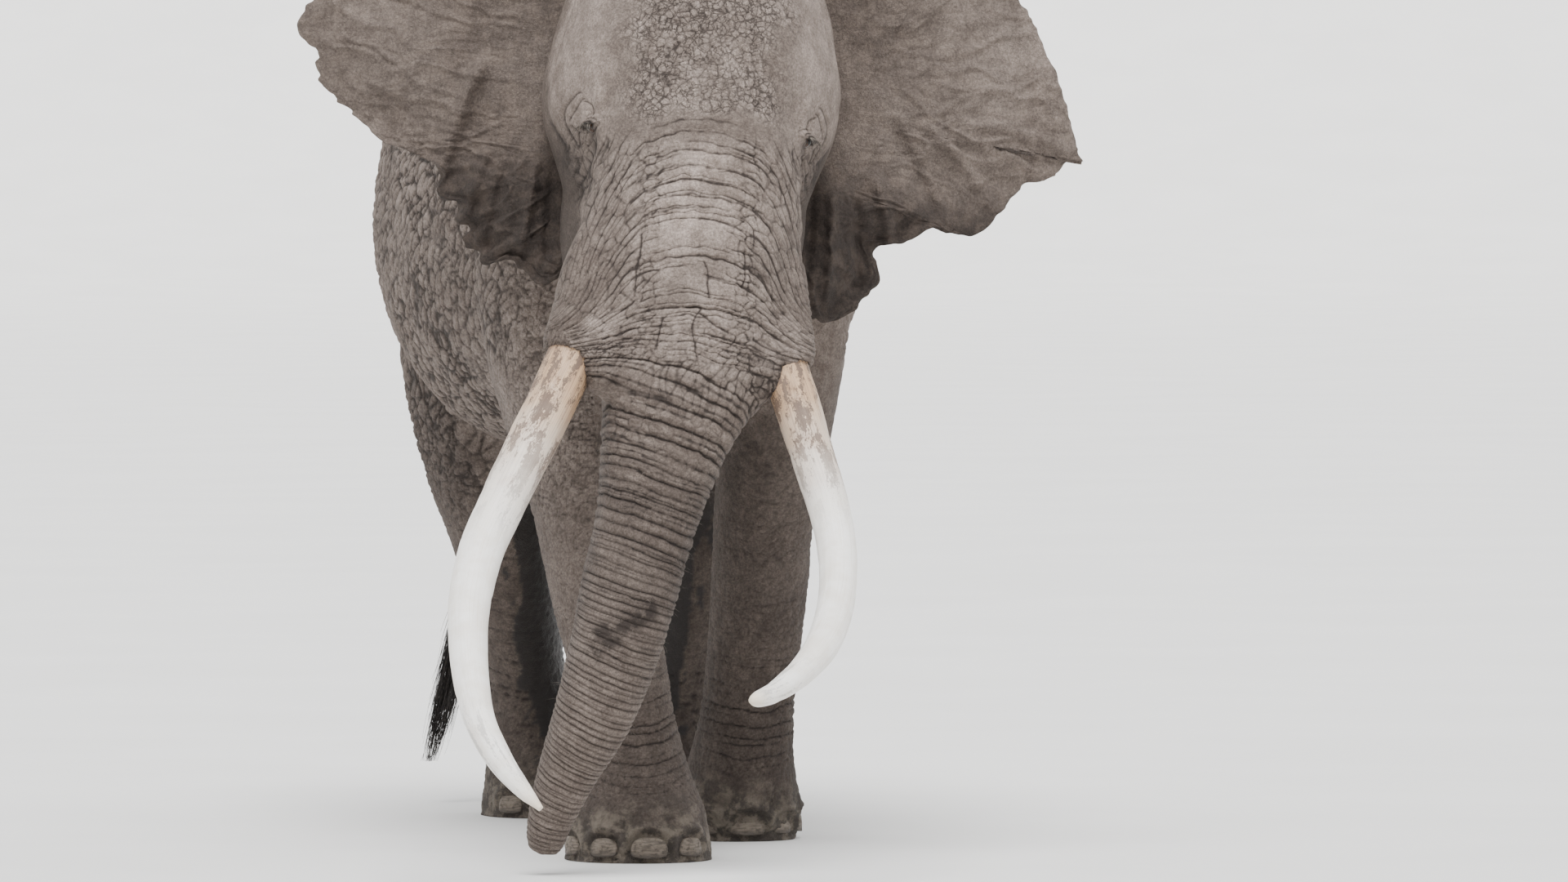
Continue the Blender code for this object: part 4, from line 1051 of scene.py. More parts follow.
def body_hide(skin):
    """Knobbly hide on the trunk of the body, the knobs drawn out forwards and up."""
    p, z, warp = skin.p, skin.z, skin.warp
    shoulder = bell((p[:, 0] + 0.42) / 0.24, 1.0) * bell((z - 1.62) / 0.40, 1.0)
    shoulder *= (p[:, 1] < 1.35) * (p[:, 1] > 0.2) * rise(0.2, -0.2, skin.n[:, 1])
    body = rise(-0.05, 0.35, skin.hy) * rise(0.9, 1.35, z)
    body *= 1 - 0.85 * np.maximum(shoulder, skin.forelegs)
    coarse = np.max([rise(-0.42, -0.18, p[:, 0]), rise(0.55, 0.80, skin.n[:, 2]),
                     rise(0.0, 0.3, skin.n[:, 1])], axis=0)
    ahead = -p[:, 1] * math.cos(HIDE_LEAN) + z * math.sin(HIDE_LEAN)
    over = p[:, 1] * math.sin(HIDE_LEAN) + z * math.cos(HIDE_LEAN)
    for (along, wide, deep), depth, ink, seed in (((0.080, 0.040, 0.075), 0.0200, 1.10, 71),
                                                  ((0.034, 0.020, 0.030), 0.0055, 0.55, 73)):
        q = np.column_stack([ahead / along, over / wide, p[:, 0] / deep]) + 0.38 * warp
        apart = seams(q, body > 0.01, seed, 0.9)
        strength = body * np.clip(0.80 + 0.35 * noise(p, 0.25, seed + 3), 0.2, 1)
        skin.fold(strength, -depth * (1 - domed(1.3 * apart)),
                  bell(apart, 0.18) * (1 - 0.62 * coarse), ink)
    skin.fold(body, 0.006 * noise(p * (1.0, 1.0, 0.4), 0.12, 72))
    skin.most("pale", 0.70 * shoulder)
    skin.most("pale", body * np.clip(0.30 + 0.22 * noise(p, 0.30, 74), 0, 1))
    q = p / (0.024, 0.030, 0.021) + 0.3 * warp
    apart = seams(q, shoulder > 0.05, 75, 0.8)
    skin.fold(shoulder, -0.0042 * bell(apart, 0.24), bell(apart, 0.14), 0.75)
    # painted shade, deeper lower down the body
    skin.most("shade", 0.20 * rise(1.55, 1.1, z) * body)


def relief(mesh):
    """Fold, crease and pebble the skin; gives what the material needs as fields."""
    skin = Skin(mesh)
    p = skin.p
    skin.fold(1.0, 0.0045 * noise(p, 0.30, 7) + 0.0022 * noise(p, 0.10, 8))
    for part in (lay_levels, face_creases, trunk_rings, face_colours, brow_and_eyes, legs, toes,
                 body_hide):
        part(skin)

    # the opening at the trunk's end
    trunk = skin.trunk
    left = trunk.lengths[-1] - trunk.length
    tip = rise(0.030, -0.025, trunk.heights[-1] + left - 0.045) * (trunk.near < 1.3) * (left < 0.12)
    hollow = tip * bell(trunk.near, 0.62)
    p = p + skin.n * (skin.lift * rise(0.0, 0.012, p[:, 2]))[:, None]
    end = np.array([-0.15, 0.35, -0.92])
    p -= hollow[:, None] * 0.055 * (end / np.linalg.norm(end))
    p[:, 2] = np.maximum(p[:, 2], 0.0)
    put_places(mesh, p)
    skin.fields["pink"] = hollow
    return {name: np.clip(values, 0, 1) for name, values in skin.fields.items()}


def open_eyes(mesh, frames):
    """Draw the skin round each eye into a lidded opening; gives painted shade round each opening."""
    p = places(mesh)
    shade = np.zeros(len(p))
    for point, outward, up, across, _ in frames:
        off = p - point
        a, b, c = off @ across, off @ up, off @ outward
        apart = np.sqrt(a * a + b * b + c * c)
        near = apart < 0.16
        tilt = b + LID_TILT * a
        tall = np.where(tilt > 0, LID_ABOVE, LID_BELOW)
        e = np.sqrt((a / LID_WIDE) ** 2 + (tilt / tall) ** 2)
        flat = np.sqrt(a * a + b * b)
        dome = -EYE_RADIUS * EYE_SUNK + np.sqrt(np.maximum(EYE_RADIUS ** 2 - flat ** 2, 0))
        lid = np.where(tilt > 0, 0.0175 * bell(e - 1.35, 1.5), 0.0110 * bell(e - 1.3, 1.3))
        for ring, depth, upper in ((2.2, 0.0045, 1), (3.5, 0.0030, 1), (2.6, 0.0035, -1)):
            groove = bell(e + 0.30 * noise(p, 0.03, 91) - ring, 0.15 + 0.03 * ring) \
                * rise(0.0, 0.006, tilt * upper) * rise(-0.6, 0.3, noise(p, 0.035, 92 + upper))
            lid = lid - depth * groove
            # painted shade in the grooves of the lids
            shade += near * 0.55 * groove
        inside = rise(1.06, 0.94, e)
        fade = rise(0.15, 0.07, apart)
        height = lid * fade * (1 - inside) + (dome - 0.006) * inside
        reach = np.where(near, height, 0.0)
        flatten = np.where(near, -c * inside, 0.0)
        p = p + outward * (reach + flatten)[:, None]
        # painted shade round the opening and on the lids
        shade += near * (bell(e - 0.95, 0.45) + 0.45 * bell(e - 1.4, 0.7))
    put_places(mesh, p)
    return np.clip(shade, 0, 1)


# ---------------------------------------------------------------- ears
def ear_sheet(name, side, margin):
    """A sheet from the root line in the head to a torn free margin, with a back of its own."""
    columns, rows, back_rows = EAR_STEPS
    outline = smooth_rows(margin, 16)
    length = lengths_along(outline)
    t = np.linspace(0, 1, columns + 1)
    rim = np.column_stack([np.interp(t * length[-1], length, outline[:, k]) for k in (0, 1)])
    seed = 300 + side
    along = np.column_stack([t * length[-1], np.zeros_like(t), np.full_like(t, side * 2.0)])
    torn = rise(0.22, 0.30, t)
    ragged = torn * (0.012 * noise(along, 0.045, seed) + 0.009 * noise(along, 0.020, seed + 1)
                     - 0.042 * bell(noise(along, 0.11, seed + 2) - 0.75, 0.16)) * (0.70 - 0.30 * side)
    root = np.array(EAR_ROOT_TOP) * (1 - t[:, None]) + np.array(EAR_ROOT_BOTTOM) * t[:, None]
    out_way = rim - root[:, [0, 2]]
    out_way /= np.linalg.norm(out_way, axis=1, keepdims=True)
    rim = rim + out_way * ragged[:, None]

    def sheet(count):
        s = np.linspace(0, 1, count + 1)[:, None]
        s = 1 - (1 - s) ** 1.15
        x = root[:, 0] + (rim[:, 0] - root[:, 0]) * s
        z = root[:, 2] + (rim[:, 1] - root[:, 2]) * s
        lobe = rise(0.52, 0.72, t)
        y = root[:, 1] + EAR_SWEEP * (x - root[:, 0]) - EAR_CAMBER * np.sin(math.pi * s)
        y = y + 0.022 * s * np.sin(7.0 * math.pi * t + 2.0 * s)
        flat = np.column_stack([np.tile(t * 9.0, count + 1), np.repeat(s.ravel() * 1.6, columns + 1),
                                np.full((count + 1) * (columns + 1), 0.5 * side)])
        waves = noise(flat, 1.0, seed + 5).reshape(count + 1, -1)
        y = y + (0.016 + 0.018 * lobe) * rise(0.12, 0.7, s) * waves
        curl = rise(0.86, 1.0, s) * rise(0.30, 0.40, t) * rise(0.99, 0.93, t)
        y = y - 0.022 * curl * (1 + 0.8 * noise(along, 0.20, seed + 6))
        spread = np.column_stack([x.ravel(), np.zeros(x.size), z.ravel()])
        for line, width, height in EAR_LINES[side]:
            if width > 0.01:
                rest, _ = furrow(spread, line, width, height)
                y = y + 1.2 * rest.reshape(y.shape) * rise(0.10, 0.35, s)
        return np.stack([side * x, y, z], axis=2), s

    def facing(grid):
        du = np.gradient(grid, axis=1)
        dv = np.gradient(grid, axis=0)
        n = np.cross(du, dv)
        n /= np.maximum(np.linalg.norm(n, axis=2, keepdims=True), 1e-9)
        return np.where(n[..., 1:2] > 0, -n, n)

    face, s = sheet(rows)
    out = facing(face)
    flat = face.reshape(-1, 3)
    reach = np.repeat(s.ravel(), columns + 1)
    spread = flat * (side, 1.0, 1.0)
    bent = spread + 0.010 * noises(flat, 0.06, range(seed + 7, seed + 10))
    bump = 0.0040 * noise(flat, 0.07, seed + 13) + 0.0022 * noise(flat, 0.028, seed + 14)
    ink = np.zeros(len(flat))
    for line, width, height in EAR_LINES[side]:
        if width < 0.01:
            rest, _ = furrow(bent, line, width, -height)
            bump += rest
            ink += 0.25 * bell(rest / height - 0.55, 0.25)
    # branching veins and creases that run out to the margin
    place = np.column_stack([np.tile(t * 15.0, rows + 1), np.repeat(s.ravel() * 3.2, columns + 1),
                             np.zeros(len(flat))])
    place += 0.35 * np.column_stack([noise(flat, 0.12, seed + 10), noise(flat, 0.12, seed + 11),
                                     np.zeros(len(flat))])
    first, second = cells(place + (0, 0, 0.5), seed + 12, 0.85)
    vein = bell(second - first, 0.10) * rise(-0.4, 0.3, noise(flat, 0.30, seed + 15))
    vein *= rise(0.2, 0.5, reach)
    first, second = cells(place * (2.6, 2.2, 1.0) + (0, 0, 0.5), seed + 16, 0.9)
    fine = bell(second - first, 0.16) * rise(0.15, 0.45, reach)
    bump += 0.0080 * vein - 0.0032 * fine
    # dark lines along veins and creases: dirt together with painted shade
    ink += 0.22 * fine + 0.16 * bell(vein - 0.35, 0.22)
    face = face + out * bump.reshape(rows + 1, -1, 1)

    back, s_back = sheet(back_rows)
    thick = EAR_ROOT_THICK * (1 - rise(0.0, 0.30, s_back)) + EAR_THICK
    back = back - facing(back) * thick[..., None]

    width = columns + 1
    points = np.vstack([face.reshape(-1, 3), back.reshape(-1, 3)])
    start = (rows + 1) * width
    faces = []

    def strip(low, high):
        faces.extend((low + k, low + k + 1, high + k + 1, high + k) for k in range(columns))

    for i in range(rows):
        strip(i * width, (i + 1) * width)
    for i in range(back_rows):
        strip(start + (i + 1) * width, start + i * width)
    strip(rows * width, start + back_rows * width)
    strip(start, 0)
    mesh = new_mesh(name, moved(points, HEAD), faces)
    edit(mesh, face_outwards)

    t_all = np.concatenate([np.tile(t, rows + 1), np.tile(t, back_rows + 1)])
    s_all = np.concatenate([reach, np.repeat(s_back.ravel(), width)])
    blotch = layered(points, 0.20, seed + 20)
    low = rise(2.38, 2.12, points[:, 2] + 0.015 * blotch + 0.10 * (np.abs(points[:, 0]) - 0.6))
    crust = rise(0.50, 0.8, layered(points, 0.06, seed + 21)) * rise(0.0, 0.5, blotch)
    fields = {field: np.zeros(len(points)) for field in FIELDS}
    fields["dark"][:len(flat)] = np.clip(ink, 0, 1)
    fields["crack"] += 0.30
    fields["stain"] += 0.16 * crust
    # painted shade: some over the whole ear and deep on the lower lobe; the outer ear paler away from
    # it
    fields["shade"] += np.clip(0.19 - 0.05 * side + 0.03 * blotch + (0.74 + 0.06 * side) * low
                               * rise(0.1, 0.3, t_all), 0, 1)
    fields["pale"] += (0.20 + 0.26 * rise(-0.3, 0.6, blotch)) * rise(0.40, 0.90, s_all) * (1 - low)
    fields["ear"] += 1.0
    return mesh, fields


def put_fields(mesh, fields):
    for name, values in fields.items():
        attribute(mesh, name, values)


# ---------------------------------------------------------------- pieces of their own
def tusk_mesh(name, rows, seed):
    """A long cone of ivory with a worn point and fine lengthwise grooves."""
    full = tusk_rows(rows)
    points, faces = loft(full, TUSK_SIDES, TUSK_STEPS, 2.0)
    count = (len(full) - 1) * TUSK_STEPS + 1
    down = np.linspace(-1 / (len(rows) - 1), 1, count)
    along = np.concatenate([np.repeat(down, TUSK_SIDES), [-0.1, 1]])
    around = np.concatenate([np.tile(np.arange(TUSK_SIDES) / TUSK_SIDES, count), [0, 0]])
    angle = 2 * math.pi * around
    mesh = new_mesh(name, points, faces)
    n = normals(mesh)
    grain = noise(np.column_stack([np.cos(angle) * 9, np.sin(angle) * 9, along * 5]), 1.0, seed)
    lift = 0.0009 * grain + 0.0016 * noise(points, 0.12, seed + 1) \
        + 0.0005 * noise(points, 0.02, seed + 2)
    dent = rise(0.55, 0.8, noise(points, 0.05, seed + 3)) * 0.0012
    put_places(mesh, points + n * (lift - dent)[:, None] * rise(1.0, 0.97, along)[:, None])
    mesh.shade_smooth()
    attribute(mesh, "along", along)
    attribute(mesh, "ring", np.column_stack([np.cos(angle), np.sin(angle), along * 14]))
    return mesh


def eyeball(name, eye):
    """A ball with a clear bulge over the iris."""
    point, outward, up, _, _ = eye
    shape = bmesh.new()
    bmesh.ops.create_uvsphere(shape, u_segments=40, v_segments=28, radius=1.0)
    for v in shape.verts:
        if v.co.z > 0.80:
            v.co *= 1 + 0.05 * (v.co.z - 0.80) / 0.20
    mesh = bpy.data.meshes.new(name)
    shape.to_mesh(mesh)
    shape.free()
    local = places(mesh)
    look = outward + 0.10 * np.array([0, -1.0, -0.4])
    look /= np.linalg.norm(look)
    side_way = np.cross(up, look)
    side_way /= np.linalg.norm(side_way)
    top = np.cross(look, side_way)
    centre = point - outward * EYE_RADIUS * EYE_SUNK
    put_places(mesh, centre + EYE_RADIUS * (local[:, :1] * side_way + local[:, 1:2] * top
                                            + local[:, 2:3] * look))
    mesh.shade_smooth()
    attribute(mesh, "iris", local[:, 2])
    return mesh


def nail_mesh(name):
    """All the nails: curved plates with a rounded cuticle edge and a blunt, worn lower edge."""
    across, up = 26, 16
    count = across * up
    u, v = np.meshgrid(np.linspace(-1, 1, across), np.linspace(-1, 1, up))
    arch = np.sqrt(np.maximum(1 - np.abs(u) ** 2.6, 0))
    z = np.where(v > 0, v * arch, v * 0.85 * (0.55 + 0.45 * arch))
    bulge = (1 - 0.55 * u ** 2) * (1 - 0.45 * np.maximum(z, 0) ** 2)
    plate = []
    for a in (j * across + i for j in range(up - 1) for i in range(across - 1)):
        plate.append((a, a + 1, a + across + 1, a + across))
        plate.append((count + a, count + a + across, count + a + across + 1, count + a + 1))
    rim = (list(range(across)) + [j * across + across - 1 for j in range(1, up)]
           + [(up - 1) * across + i for i in range(across - 2, -1, -1)]
           + [j * across for j in range(up - 2, 0, -1)])
    plate.extend((b, a, count + a, count + b) for a, b in zip(rim, rim[1:] + rim[:1]))
    parts = []
    for k, middle, out, foremost in nail_places():
        half_width, half_height = (0.060, 0.037) if foremost else (0.047, 0.033)
        side = np.array([-out[1], out[0], 0])
        p = (middle + side * (u * half_width)[..., None] + np.array([0, 0, 1.0])
             * (z * half_height)[..., None] + out * (0.022 * bulge - 0.006)[..., None])
        p = p.reshape(-1, 3)
        rough = 0.0016 * noise(p, 0.012, 400 + k) + 0.0024 * noise(p, 0.03, 401 + k)
        p += out * rough[:, None]
        both = np.vstack([p, p - out * NAIL_THICK])
        both[:, 2] = np.maximum(both[:, 2], SOLE)
        parts.append((both, plate))
    points, faces = gathered(parts)
    mesh = new_mesh(name, points, faces)
    edit(mesh, face_outwards)
    mesh.shade_smooth()
    attribute(mesh, "rise", np.tile(v.ravel(), 2 * len(parts)))
    return mesh


class Hairs:
    """Solid tapered hairs, gathered into one mesh, each with its own patch of the coat's map."""

    def __init__(self):
        self.points, self.faces, self.uvs, self.start = [], [], [], 0

    def add(self, line, radius, place, sides=3):
        """One hair along the points of a line; its place on the map is where its root grows."""
        line = np.asarray(line)
        count = len(line)
        tangent = np.gradient(line, axis=0)
        tangent /= np.linalg.norm(tangent, axis=1, keepdims=True)
        aid = np.array([0.31, 0.87, 0.38])
        side = np.cross(tangent, aid)
        side /= np.linalg.norm(side, axis=1, keepdims=True)
        other = np.cross(tangent, side)
        taper = np.linspace(1, 0.25, count)[:, None, None] * radius
        angle = np.arange(sides) * 2 * math.pi / sides
        ring = (line[:, None] + taper * (side[:, None] * np.cos(angle)[None, :, None]
                                         + other[:, None] * np.sin(angle)[None, :, None]))
        self.points.append(ring.reshape(-1, 3))
        for i in range(count - 1):
            for k in range(sides):
                n = (k + 1) % sides
                low, high = self.start + i * sides, self.start + (i + 1) * sides
                self.faces.append((low + k, low + n, high + n, high + k))
                for u, v in ((k, i), (k + 1, i), (k + 1, i + 1), (k, i + 1)):
                    self.uvs.append((place[0] + 0.003 * u / sides, place[1] + 0.003 * v / count))
        self.faces.append(tuple(self.start + k for k in reversed(range(sides))))
        last = self.start + (count - 1) * sides
        self.faces.append(tuple(last + k for k in range(sides)))
        self.uvs.extend([tuple(place)] * (2 * sides))
        self.start += count * sides

    def mesh(self, name):
        made = new_mesh(name, np.vstack(self.points), self.faces)
        layer = made.uv_layers.new(name="OFBake")
        layer.data.foreach_set("uv", np.array(self.uvs, dtype=np.float32).ravel())
        made.shade_smooth()
        return made


def tuft_mesh(name):
    """The tail's switch: wiry hairs that grow all round its end and hang apart."""
    rng = np.random.default_rng(7)
    rows = smooth_rows(TAIL_TUFT, 6)
    hairs = Hairs()
    for _ in range(SWITCH_HAIRS):
        start = rng.uniform(0, 0.45)
        stop = min(1.0, start + rng.uniform(0.35, 0.75))
        angle = rng.uniform(0, 2 * math.pi)
        spread = math.sqrt(rng.uniform(0.02, 1.0))
        count = 14
        at = np.linspace(start, stop, count) * (len(rows) - 1)
        low = np.minimum(at.astype(int), len(rows) - 2)
        f = (at - low)[:, None]
        row = rows[low] * (1 - f) + rows[low + 1] * f
        grow = np.linspace(0, 1, count)
        out = (0.3 + 0.7 * np.sqrt(grow)) * spread
        bend = rng.normal(0, 0.012, 2)
        x = row[:, 0] + row[:, 3] * out * math.cos(angle) + bend[0] * grow ** 2
        y = row[:, 1] + row[:, 4] * out * math.sin(angle) + bend[1] * grow ** 2
        x += 0.004 * np.sin(grow * rng.uniform(4, 9) + rng.uniform(0, 6))
        hairs.add(np.column_stack([x, y, row[:, 2]]), rng.uniform(0.0011, 0.0021),
                  (0.90 + 0.08 * angle / (2 * math.pi), 0.05 + 0.2 * start))
    return hairs.mesh(name)


def bristle_mesh(name, skin, frames):
    """Eyelashes, and sparse stiff hairs on the trunk and chin."""
    rng = np.random.default_rng(11)
    hairs = Hairs()
    for point, outward, up, across, side in frames:
        for _ in range(LASHES):
            a = rng.uniform(-0.024, 0.024)
            brow = 0.0125 * math.sqrt(max(0.0, 1 - (a / 0.0245) ** 2))
            root = point + across * a + up * (brow - 0.2 * a + 0.001) + outward * 0.011
            size = rng.uniform(0.030, 0.052)
            droop = rng.uniform(0.45, 0.95)
            fan = a / 0.024 * 0.5 + rng.normal(0, 0.10)
            g = np.linspace(0, 1, 7)[:, None]
            line = root + size * (outward * (g - 0.45 * g ** 2) + across * fan * g
                                  - up * droop * g ** 1.6)
            hairs.add(line, rng.uniform(0.0005, 0.0009), (0.02 + 0.1 * (side > 0), 0.5 + a))
    p, n = places(skin), normals(skin)
    h = moved(p, UNHEAD)
    trunk = (p[:, 1] < -0.25) & (p[:, 2] < 1.75) & (p[:, 2] > 0.2)
    chin = (h[:, 2] < 1.85) & (h[:, 1] > -0.32) & (h[:, 1] < 0.1) & (p[:, 2] > 1.4) & (n[:, 2] < -0.2)
    for chosen, count, low, high in ((trunk, TRUNK_HAIRS, 0.015, 0.045),
                                     (chin, CHIN_HAIRS, 0.03, 0.07)):
        spots = np.flatnonzero(chosen)
        for i in rng.choice(spots, size=min(count, len(spots)), replace=False):
            size = rng.uniform(low, high)
            lean = rng.normal(0, 0.35, 3) + np.array([0, 0, -0.5])
            g = np.linspace(0, 1, 5)[:, None]
            line = p[i] - n[i] * 0.003 + size * (n[i] * g + lean * g ** 2 * 0.5)
            hairs.add(line, rng.uniform(0.0004, 0.0008),
                      (0.3 + 0.3 * (p[i, 0] + 1) / 2, 0.1 + 0.25 * p[i, 2]))
    return hairs.mesh(name)


# ---------------------------------------------------------------- materials
class Paint:
    """A node material built with short calls."""

    def __init__(self, name):
        self.material = bpy.data.materials.new(name)
        self.material.use_nodes = True
        self.tree = self.material.node_tree
        self.shader = self.tree.nodes["Principled BSDF"]
        self.places = self.node("ShaderNodeTexCoord").outputs["Object"]

    def node(self, kind, **settings):
        made = self.tree.nodes.new(kind)
        for key, value in settings.items():
            setattr(made, key, value)
        return made

    def put(self, socket, value):
        if isinstance(value, bpy.types.NodeSocket):
            self.tree.links.new(value, socket)
        else:
            socket.default_value = value

    def fill(self, node, values):
        for key, value in values.items():
            self.put(node.inputs[key], value)

    def field(self, name, vector=False):
        made = self.node("ShaderNodeAttribute", attribute_name=name)
        return made.outputs["Vector" if vector else "Fac"]

    def math(self, operation, *values):
        made = self.node("ShaderNodeMath", operation=operation)
        for socket, value in zip(made.inputs, values):
            self.put(socket, value)
        return made.outputs[0]

    def times(self, a, b):
        return self.math("MULTIPLY", a, b)

    def plus(self, a, share, b):
        """a by that share, and b."""
        return self.math("MULTIPLY_ADD", a, share, b)

    def scaled(self, vector, size):
        """The vector in units of a size, or of one size to each axis."""
        made = self.node("ShaderNodeVectorMath", operation="MULTIPLY")
        size = size if isinstance(size, tuple) else (size,) * 3
        self.fill(made, {0: vector, 1: tuple(1 / s for s in size)})
        return made.outputs[0]

    def bent(self, vector, size, amount):
        """The places pushed about by noise."""
        made = self.node("ShaderNodeTexNoise")
        self.fill(made, {"Vector": self.scaled(vector, size), "Detail": 2.0})
        shift = self.node("ShaderNodeVectorMath", operation="MULTIPLY_ADD")
        self.fill(shift, {0: made.outputs["Color"], 1: (amount,) * 3, 2: vector})
        return shift.outputs[0]

    def noise(self, vector, size, detail=3.0, rough=0.55):
        made = self.node("ShaderNodeTexNoise")
        self.fill(made, {"Vector": self.scaled(vector, size), "Scale": 1.0, "Detail": detail,
                         "Roughness": rough})
        return made.outputs["Fac"]

    def cells(self, vector, size):
        """Distance from the seams between cells of that size."""
        made = self.node("ShaderNodeTexVoronoi", feature="DISTANCE_TO_EDGE")
        self.fill(made, {"Vector": self.scaled(vector, size), "Scale": 1.0, "Randomness": 1.0})
        return made.outputs["Distance"]

    def ramp(self, value, low, high, start=0.0, end=1.0):
        made = self.node("ShaderNodeMapRange", interpolation_type="SMOOTHSTEP")
        self.fill(made, {"Value": value, "From Min": low, "From Max": high, "To Min": start,
                         "To Max": end})
        return made.outputs["Result"]

    def blend(self, share, a, b, kind="MIX"):
        """a with that share of b over it."""
        made = self.node("ShaderNodeMix", data_type="RGBA", blend_type=kind)
        self.put(made.inputs["Factor"], share)
        for socket, value in ((made.inputs[6], a), (made.inputs[7], b)):
            self.put(socket, value if isinstance(value, bpy.types.NodeSocket) else (*value, 1.0))
        return made.outputs[2]

    def over(self, base, *layers):
        """The base with each layer over it in turn, a share and a colour."""
        for share, colour in layers:
            base = self.blend(share, base, colour)
        return base

    def dimmed(self, share, base, by):
        """The base, where the share is, multiplied by a colour."""
        return self.blend(share, base, self.blend(1.0, base, by, "MULTIPLY"))

    def finish(self, colour, roughness, height=None, **constants):
        """The material, with bumps of that height in metres."""
        self.fill(self.shader, {"Base Color": colour, "Roughness": roughness})
        if height is not None:
            bump = self.node("ShaderNodeBump")
            self.fill(bump, {"Strength": 1.0, "Distance": 1.0, "Height": height})
            self.put(self.shader.inputs["Normal"], bump.outputs["Normal"])
        self.fill(self.shader, constants)
        return self.material


def skin_material():
    m = Paint("elephant_skin")
    at = m.places
    dark, wet, mud, crack, stain, shade, pale, pink, ear = (m.field(k) for k in FIELDS)

    big = m.cells(m.bent(at, 0.03, 0.012), 0.028)
    small = m.cells(m.bent(at, 0.05, 0.020), 0.0135)
    tiny = m.cells(at, 0.0065)
    grain = m.noise(at, 0.0040, 4.0, 0.65)
    speck = m.noise(at, 0.0085, 3.0, 0.7)
    patchy = m.noise(at, 0.35, 4.0, 0.6)
    dusty = m.noise(at, 0.06, 5.0, 0.66)

    big_line = m.ramp(big, 0.015, 0.095, 1.0, 0.0)
    small_line = m.ramp(small, 0.02, 0.15, 1.0, 0.0)
    tiny_line = m.ramp(tiny, 0.0, 0.18, 1.0, 0.0)
    broken = m.ramp(m.noise(at, 0.045, 3.0), 0.32, 0.48)
    cracked = m.times(m.times(big_line, broken), m.plus(crack, 0.85, 0.15))
    cracked2 = m.times(small_line, m.plus(crack, 0.40, 0.38))

    height = m.times(cracked, -0.0022)
    for form, size in ((cracked2, -0.0014), (tiny_line, -0.0007), (grain, 0.0012),
                       (speck, 0.0018), (dusty, 0.0030)):
        height = m.plus(form, size, height)
    # dark crease and crack lines: dirt in them together with painted shade
    lines = m.times(dark, 0.95)
    for line, share in ((cracked, 0.88), (cracked2, 0.62), (tiny_line, 0.34)):
        lines = m.math("MAXIMUM", lines, m.times(line, share))

    base = m.blend(m.ramp(patchy, 0.35, 0.68), (0.128, 0.099, 0.083), (0.185, 0.149, 0.128))
    # the pale colour: dust together with painted light and painted highlights, wherever the pale
    # field is set
    dust_and_painted_light = m.blend(m.ramp(dusty, 0.36, 0.66), (0.338, 0.274, 0.235), (0.535, 0.447, 0.393))
    base = m.over(base, (m.ramp(dusty, 0.38, 0.70, 0.0, 0.60), (0.250, 0.203, 0.172)),
                  (m.times(pale, 0.92), dust_and_painted_light))
    base = m.dimmed(m.ramp(speck, 0.38, 0.64, 0.0, 0.62), base, (0.42, 0.40, 0.39))
    base = m.dimmed(shade, base, (0.205, 0.185, 0.175))
    ink = m.blend(shade, (0.026, 0.019, 0.016), (0.012, 0.009, 0.008))
    soil = m.blend(m.ramp(dusty, 0.44, 0.60), (0.058, 0.050, 0.043), (0.210, 0.180, 0.143))
    rust = m.times(ear, m.ramp(dusty, 0.45, 0.62, 0.0, 0.12))
    base = m.over(base, (lines, ink), (rust, (0.170, 0.125, 0.098)),
                  (m.times(stain, 0.85), (0.016, 0.011, 0.009)),
                  (m.times(mud, 0.60), soil),
                  (m.times(pink, 0.85), (0.060, 0.026, 0.022)),
                  (m.times(wet, 0.90), (0.014, 0.011, 0.010)))
    roughness = m.plus(wet, -0.38, m.ramp(grain, 0.3, 0.7, 0.78, 0.92))
    return m.finish(base, roughness, height, IOR=1.40)


def ivory_material():
    m = Paint("ivory")
    along, ring = m.field("along"), m.field("ring", vector=True)
    at = m.places
    streak = m.noise(m.scaled(ring, (0.045, 0.045, 2.2)), 1.0, 4.0, 0.6)
    fine = m.noise(m.scaled(ring, (0.018, 0.018, 3.2)), 1.0, 3.0, 0.6)
    cloud = m.noise(at, 0.10, 4.0, 0.6)
    flake = m.noise(m.scaled(m.bent(ring, 0.5, 0.35), (0.48, 0.48, 1.1)), 1.0, 5.0, 0.68)
    mark = m.noise(m.scaled(m.bent(ring, 0.6, 0.4), (0.35, 0.35, 1.3)), 1.0, 4.0, 0.6)

    upper = m.plus(cloud, -0.22, along)
    root = m.times(m.ramp(upper, 0.26, -0.06), 0.94)
    flakes = m.times(m.ramp(flake, 0.49, 0.54), m.ramp(upper, 0.30, 0.00))
    grey = m.times(m.ramp(mark, 0.53, 0.62), m.ramp(along, 0.66, 0.76))
    grey = m.times(grey, m.ramp(along, 0.97, 0.88))
    base = m.blend(m.ramp(cloud, 0.35, 0.65), (0.83, 0.785, 0.72), (0.93, 0.91, 0.875))
    brown = m.blend(m.ramp(streak, 0.40, 0.62), (0.50, 0.315, 0.170), (0.28, 0.155, 0.078))
    base = m.over(base, (m.ramp(streak, 0.52, 0.74, 0.0, 0.40), (0.66, 0.56, 0.44)),
                  (m.ramp(fine, 0.60, 0.72, 0.0, 0.40), (0.42, 0.34, 0.27)),
                  (root, brown),
                  (m.times(flakes, 0.82), (0.100, 0.066, 0.052)),
                  (m.times(grey, 0.55), (0.36, 0.34, 0.33)),
                  (m.ramp(along, 0.86, 1.0, 0.0, 0.60), (0.74, 0.60, 0.40)))
    height = m.plus(streak, 0.0009, m.times(fine, 0.0008))
    height = m.plus(flakes, 0.0008, height)
    roughness = m.plus(flakes, 0.3, m.ramp(cloud, 0.3, 0.7, 0.34, 0.50))
    return m.finish(base, roughness, height, IOR=1.54)


